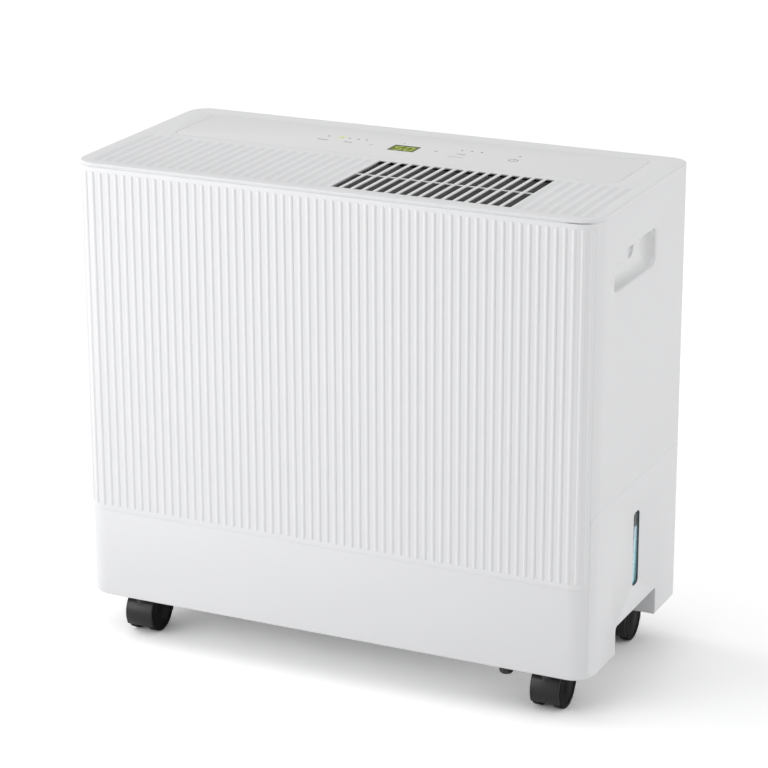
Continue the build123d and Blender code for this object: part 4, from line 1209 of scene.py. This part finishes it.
# Painted glow round the lit lamp: its reach, its stretch along Y and its thickness.
HALO = 5.0
HALO_LONG = 2.2
HALO_THICK = 0.02
KEY_Y = 47.5
KEY_TALL = 1.9
KEY_MARKS = ((-82.0, 11.5), (-56.6, 9.0), (56.0, 9.0))
SIGN_STROKE = 0.8
SIGN_REACH = 4.2
MINUS = (-33.0, KEY_Y)
PLUS = (30.6, 48.6)
RULE = (55.0, 36.6)
RULE_LENGTH = 16.0
POWER = (107.0, 46.3)
POWER_OUT = 4.5
POWER_IN = 3.5
POWER_TICK = (1.0, 4.4)
POWER_TICK_RISE = 2.0
PRINT_SOFT = 0.02


def dot(x, y, radius):
    """A small printed or lit spot with a broken edge."""
    spot = rod("spot", (x, y, FILM_TOP + PRINT_THICK / 2), radius, PRINT_THICK, Z, 20)
    round_edges(spot, PRINT_SOFT, 1, lambda edge, mid: near(mid.z, FILM_TOP + PRINT_THICK, 0.001))
    return spot


def mark(x, y, width, height):
    return bar("mark", (x, y), (width, height), PRINT_THICK, FILM_TOP)


lamps = [dot(x, LAMP_Y, LAMP_RADIUS) for x in LAMP_X] + [dot(*PILOT, PILOT_RADIUS)]
hand_over(joined("idle_lamps", lamps), printed("lamp_grey", (0.20, 0.20, 0.20)), "housing", "white_inlay")
lit_lamp = joined("lit_lamp", [dot(LIT_X, LAMP_Y, LIT_RADIUS)])
hand_over(lit_lamp, lamp_glow("lamp_yellow", (0.60, 0.65, 0.34), 1.0), "housing", "white_inlay")
# A disc on the film with the lit lamp's glow painted into its colour.
halo = rod("painted_lamp_halo", (LIT_X, LAMP_Y, FILM_TOP + HALO_THICK / 2), HALO, HALO_THICK, Z, 40)
with editing(halo):
    bpy.ops.mesh.select_all(action="SELECT")
    at_lamp = Vector((LIT_X, LAMP_Y, FILM_TOP)) * MM
    bpy.ops.transform.resize(value=(1.0, HALO_LONG, 1.0), center_override=at_lamp)
hand_over(halo, painted_halo_film(LIT_X, LAMP_Y, HALO), "housing", "white_inlay")

ring = rod("power_ring", (*POWER, FILM_TOP + PRINT_THICK / 2), POWER_OUT, PRINT_THICK, Z, 40)
carve(ring, rod("ring_tool", (*POWER, FILM_TOP), POWER_IN, TOOL_OVER, Z, 40))
signs = [ring, mark(POWER[0], POWER[1] + POWER_TICK_RISE, *POWER_TICK)]
signs += [mark(x, KEY_Y, width, KEY_TALL) for x, width in KEY_MARKS]
signs += [mark(*place, SIGN_REACH, SIGN_STROKE) for place in (MINUS, PLUS)]
signs += [mark(*PLUS, SIGN_STROKE, SIGN_REACH), mark(*RULE, RULE_LENGTH, SIGN_STROKE)]
hand_over(joined("key_signs", signs), printed("sign_grey", (0.36, 0.36, 0.36)), "housing", "white_inlay")

# Rear cover, grille and power inlet
BACK_IN = 100.0
BACK_OUT = 130.0
INTAKE_GAP = 0.4
INTAKE_CORNER = 6.0
SOCKET_GAP = 0.1
SOCKET_CORNER = 3.0
GRILLE_CORNER = 5.6
GRILLE_BORDER = 9.0
GRILLE_STILE = 6.0
GRILLE_COLUMNS = 3
GRILLE_PITCH = 8.0
GRILLE_ROWS = 24
CELL_CORNER = 2.0
SLAT = 2.0
SLAT_DROP = 2.2
SLAT_ROUND = 0.5
SLAT_ROOT = 5.0
SLAT_IN = 0.1
SLAT_OUT = 0.25
SCREW_RADIUS = 3.5
HEAD_THICK = 1.4
HEAD_ROUND = 0.6
CROSS_LONG = 3.6
CROSS_WIDE = 0.8
CROSS_DEEP = 0.9
CROSS_CORNER = 0.2
PIN_PLACES = ((-7.0, -1.0), (7.0, -1.0), (0.0, 3.0))
PIN_HALF_WIDE = 1.0
PIN_HALF_TALL = 2.0
PIN_SHY = 4.0
PIN_ROUND = 0.6


def rear_hole(name, low, high, gap, corner, segments):
    """A tool for a rounded hole in the back, a gap wider all round than what fills it."""
    tool_low = (low.x - gap, BACK_IN, low.z - gap)
    tool_high = (high.x + gap, BACK_OUT, high.z + gap)
    return rounded_block(name, tool_low, tool_high, Y, corner, segments)


rear_low, rear_high = span("rear_cover")
grille_low, grille_high = span("intake_grille")
inlet_low, inlet_high = span("power_inlet")
rear_panel = skin("rear_panel", rear_low.z, rear_high.z, [((0, rear_low.y, 0), (0, -1, 0))], foot=True)
carve(rear_panel, rear_hole("intake_tool", grille_low, grille_high, INTAKE_GAP, INTAKE_CORNER, 8))
carve(rear_panel, rear_hole("socket_tool", inlet_low, inlet_high, SOCKET_GAP, SOCKET_CORNER, 6))
soften(rear_panel)
hand_over(rear_panel, finishes["white_shell"], "housing", "white_shell", "rear_cover")

grille = rounded_block("louvre_grille", grille_low, grille_high, Y, GRILLE_CORNER, 8)
cells_wide = grille_high.x - grille_low.x - 2 * GRILLE_BORDER - (GRILLE_COLUMNS - 1) * GRILLE_STILE
cell = cells_wide / GRILLE_COLUMNS
first_x = grille_low.x + GRILLE_BORDER
rows_tall = GRILLE_ROWS * GRILLE_PITCH
first_z = (grille_low.z + grille_high.z - rows_tall) / 2
cell_ends = (first_x, BACK_IN, first_z), (first_x + cell, BACK_OUT, first_z + rows_tall)
cells = rounded_block("cell_tool", *cell_ends, Y, CELL_CORNER, 4)
row(cells, GRILLE_COLUMNS, (cell + GRILLE_STILE, 0, 0))
carve(grille, cells)
slat_z = first_z + GRILLE_PITCH
slat = block(
    "slat",
    (grille_low.x + SLAT_ROOT, grille_low.y + SLAT_IN, slat_z - SLAT / 2),
    (grille_high.x - SLAT_ROOT, grille_high.y - SLAT_OUT, slat_z + SLAT / 2),
)
with editing(slat):
    pick(slat, "faces", lambda face, mid: face.normal.y < -STRAIGHT)
    bpy.ops.transform.translate(value=(0.0, 0.0, SLAT_DROP * MM))
    pick(slat, "edges", edges_along(X))
    bpy.ops.mesh.bevel(offset=SLAT_ROUND * MM, segments=2, affect="EDGES")
row(slat, GRILLE_ROWS - 1, (0, 0, GRILLE_PITCH))
carve(grille, slat, "UNION")
hand_over(grille, finishes["white_shell"], "cassette", "white_shell", "intake_grille")

screws_low, screws_high = span("rear_screws")
screw_x = (screws_low.x + SCREW_RADIUS, screws_high.x - SCREW_RADIUS)
screw_z = (screws_low.z + SCREW_RADIUS, screws_high.z - SCREW_RADIUS)
head_y = screws_high.y
head_middle = (screw_x[0], head_y - HEAD_THICK / 2, screw_z[0])
screw = rod("screw", head_middle, SCREW_RADIUS, HEAD_THICK, Y, 40)
round_edges(screw, HEAD_ROUND, 3, lambda edge, mid: near(mid.y, head_y))
for wide, tall in ((CROSS_LONG, CROSS_WIDE), (CROSS_WIDE, CROSS_LONG)):
    cross = rounded_block(
        "cross_tool",
        (screw_x[0] - wide / 2, head_y - CROSS_DEEP, screw_z[0] - tall / 2),
        (screw_x[0] + wide / 2, head_y + TOOL_OVER, screw_z[0] + tall / 2),
        Y,
        CROSS_CORNER,
        2,
    )
    carve(screw, cross)
screw_heads = [
    copy_of(screw, "screw_copy", shift(x - screw_x[0], 0, z - screw_z[0])) for x in screw_x for z in screw_z
]
bpy.data.objects.remove(screw)
hand_over(joined("screw_heads", screw_heads), finishes["steel"], "housing", "steel", "rear_screws")

inlet_x = (inlet_low.x + inlet_high.x) / 2
inlet_z = (inlet_low.z + inlet_high.z) / 2
pin_end = inlet_high.y - PIN_SHY
pins = []
for x, z in PIN_PLACES:
    pin = block(
        "pin",
        (inlet_x + x - PIN_HALF_WIDE, inlet_low.y + PIN_SHY, inlet_z + z - PIN_HALF_TALL),
        (inlet_x + x + PIN_HALF_WIDE, pin_end, inlet_z + z + PIN_HALF_TALL),
    )
    round_edges(pin, PIN_ROUND, 2, lambda edge, mid: near(mid.y, pin_end))
    pins.append(pin)
hand_over(joined("inlet_pins", pins), finishes["steel"], "housing", "steel")

# Casters
WHEEL_RADIUS = 20.0
WHEEL_INSIDE = 6.0
WHEEL_FACE = 14.2
TREAD_ROUND = 1.6
RIM_WIDTH = 2.4
DISH_STEP = 0.5
DISH_DEEP = 0.6
DISH_WIDTH = 8.0
HUB_STEP = 1.2
HUB_RISE = 0.5
HOOD_HALF = 13.8
HOOD_IN = 20.4
HOOD_OUT = 21.6
HOOD_ROUND = 0.9
HOOD_BACK = radians(-20.0)
HOOD_SWEEP = radians(230.0)
HOOD_STEPS = 46
WEB_HALF = WHEEL_INSIDE - 0.4
WEB_IN = 4.0
WEB_OUT = HOOD_OUT - 0.5
WEB_ROUND = 0.1
HUB_RADIUS = 7.0
HUB_HALF = WHEEL_INSIDE - 0.2
TRAIL = 14.0
BOSS_RADIUS = 5.4
BOSS_LOW = 26.0
BOSS_TOP = 42.7
BOSS_ROUND = 0.6
STEM_RADIUS = 4.0
STEM_LOW = 40.0
STEM_TOP = 62.0
SAME_POINT = 0.001


def swept(name, half_width, inner, outer, axle, rounding):
    """A band swept about the axle, from a profile with rounded outer corners."""
    middle = (inner + outer) / 2
    centre = axle + Vector((0, cos(HOOD_BACK), sin(HOOD_BACK))) * middle
    bpy.ops.object.select_all(action="DESELECT")
    bpy.ops.mesh.primitive_plane_add(size=1.0, location=centre * MM, rotation=(HOOD_BACK, 0, 0))
    bpy.context.active_object.scale = (2 * half_width * MM, (outer - inner) * MM, 1)
    piece = named(name)
    with editing(piece):
        pick(piece, "verts", lambda vert, mid: (mid - axle).yz.length > middle)
        bpy.ops.mesh.bevel(offset=rounding * MM, segments=3, affect="VERTICES")
        bpy.ops.mesh.select_all(action="SELECT")
        bpy.ops.mesh.delete(type="ONLY_FACE")
        bpy.ops.mesh.select_all(action="SELECT")
        bpy.ops.mesh.spin(steps=HOOD_STEPS, angle=-HOOD_SWEEP, center=axle * MM, axis=(1, 0, 0))
        bpy.ops.mesh.select_all(action="SELECT")
        bpy.ops.mesh.fill_holes(sides=0)
        bpy.ops.mesh.select_all(action="SELECT")
        bpy.ops.mesh.normals_make_consistent(inside=False)
    return piece


def upright(name, place, low_z, high_z, radius, facets):
    """A round upright bar between two heights."""
    return rod(name, (place.x, place.y, (low_z + high_z) / 2), radius, high_z - low_z, Z, facets)


def caster_fork(axle):
    """Hood over the wheels with its web, hub, boss and stem."""
    stem = axle - Vector((0, TRAIL, 0))
    hood = swept("fork", HOOD_HALF, HOOD_IN, HOOD_OUT, axle, HOOD_ROUND)
    carve(hood, swept("web", WEB_HALF, WEB_IN, WEB_OUT, axle, WEB_ROUND), "UNION")
    carve(hood, rod("hub", axle, HUB_RADIUS, 2 * HUB_HALF, X, 32), "UNION")
    boss = upright("boss", stem, BOSS_LOW, BOSS_TOP, BOSS_RADIUS, 32)
    round_edges(boss, BOSS_ROUND, 3, at_height(BOSS_TOP))
    carve(hood, boss, "UNION")
    carve(hood, upright("post", stem, STEM_LOW, STEM_TOP, STEM_RADIUS, 24), "UNION")
    with editing(hood):
        bpy.ops.mesh.select_all(action="SELECT")
        bpy.ops.mesh.remove_doubles(threshold=SAME_POINT * MM)
    return hood


def caster_wheels(axle):
    """Two wheels with rounded treads and a shallow dished face."""
    discs = []
    for side in (-1, 1):
        middle = side * (WHEEL_INSIDE + WHEEL_FACE) / 2
        centre = (axle.x + middle, axle.y, axle.z)
        disc = rod("disc", centre, WHEEL_RADIUS, WHEEL_FACE - WHEEL_INSIDE, X, 64)
        round_edges(disc, TREAD_ROUND, 4, lambda edge, mid: not runs(edge, X))
        face_x = axle.x + side * WHEEL_FACE
        with editing(disc):
            pick(disc, "faces", lambda face, mid: near(mid.x, face_x))
            bpy.ops.mesh.inset(thickness=RIM_WIDTH * MM)
            bpy.ops.mesh.inset(thickness=DISH_STEP * MM)
            bpy.ops.transform.translate(value=(-side * DISH_DEEP * MM, 0, 0))
            bpy.ops.mesh.inset(thickness=DISH_WIDTH * MM)
            bpy.ops.mesh.inset(thickness=HUB_STEP * MM)
            bpy.ops.transform.translate(value=(side * HUB_RISE * MM, 0, 0))
        discs.append(disc)
    return joined("wheel_pair", discs)


origin = Vector((0, 0, WHEEL_RADIUS))
fork = caster_fork(origin)
wheel_pair = caster_wheels(origin)
nylon = finishes["caster_nylon"]
tread = moulded(
    "wheel_nylon", (0.007, 0.007, 0.008), 0.55, grain=900.0, relief=0.08, drift=0.15, shine=0.05
)
for corner in ("front_left", "front_right", "rear_left", "rear_right"):
    low, high = span(f"caster_wheels_{corner}")
    axle = (low + high) / 2
    place = shift(axle.x, axle.y, 0)
    hood = copy_of(fork, f"hood_{corner}", place)
    hand_over(hood, nylon, f"caster_{corner}", "caster_nylon", f"caster_hood_{corner}")
    pair = copy_of(wheel_pair, f"wheels_{corner}_pair", place)
    hand_over(pair, tread, f"wheels_{corner}", "caster_nylon", f"caster_wheels_{corner}")
bpy.data.objects.remove(fork)
bpy.data.objects.remove(wheel_pair)

# Drain cap
CAP_RISE = 1.8
CAP_WIDER = 0.6
CAP_ROUND = 3.0
CAP_FLOOR = 2.1
FLANGE_OVER = 0.7
FLANGE_THICK = 3.0
FLANGE_ROUND = 0.9
BORE_RADIUS = 4.55

cap_low, cap_high = span("drain_cap")
cap_middle = (cap_low + cap_high) / 2
cap_radius = (cap_high.x - cap_low.x) / 2 + CAP_WIDER
cap_base = cap_low.z + CAP_RISE
cap = upright("drain_plug", cap_middle, cap_base, cap_high.z, cap_radius - FLANGE_OVER, 40)
round_edges(cap, CAP_ROUND, 5, at_height(cap_base))
flange = upright("flange", cap_middle, cap_high.z - FLANGE_THICK, cap_high.z, cap_radius, 40)
round_edges(flange, FLANGE_ROUND, 3, lambda edge, mid: not runs(edge, Z))
carve(cap, flange, "UNION")
bore_rise = cap_high.z - cap_base - CAP_FLOOR
carve(cap, upright("bore_tool", cap_middle, cap_high.z - bore_rise, cap_high.z + bore_rise, BORE_RADIUS, 32))
hand_over(cap, finishes["soft_rubber"], "cap", "soft_rubber", "drain_cap")
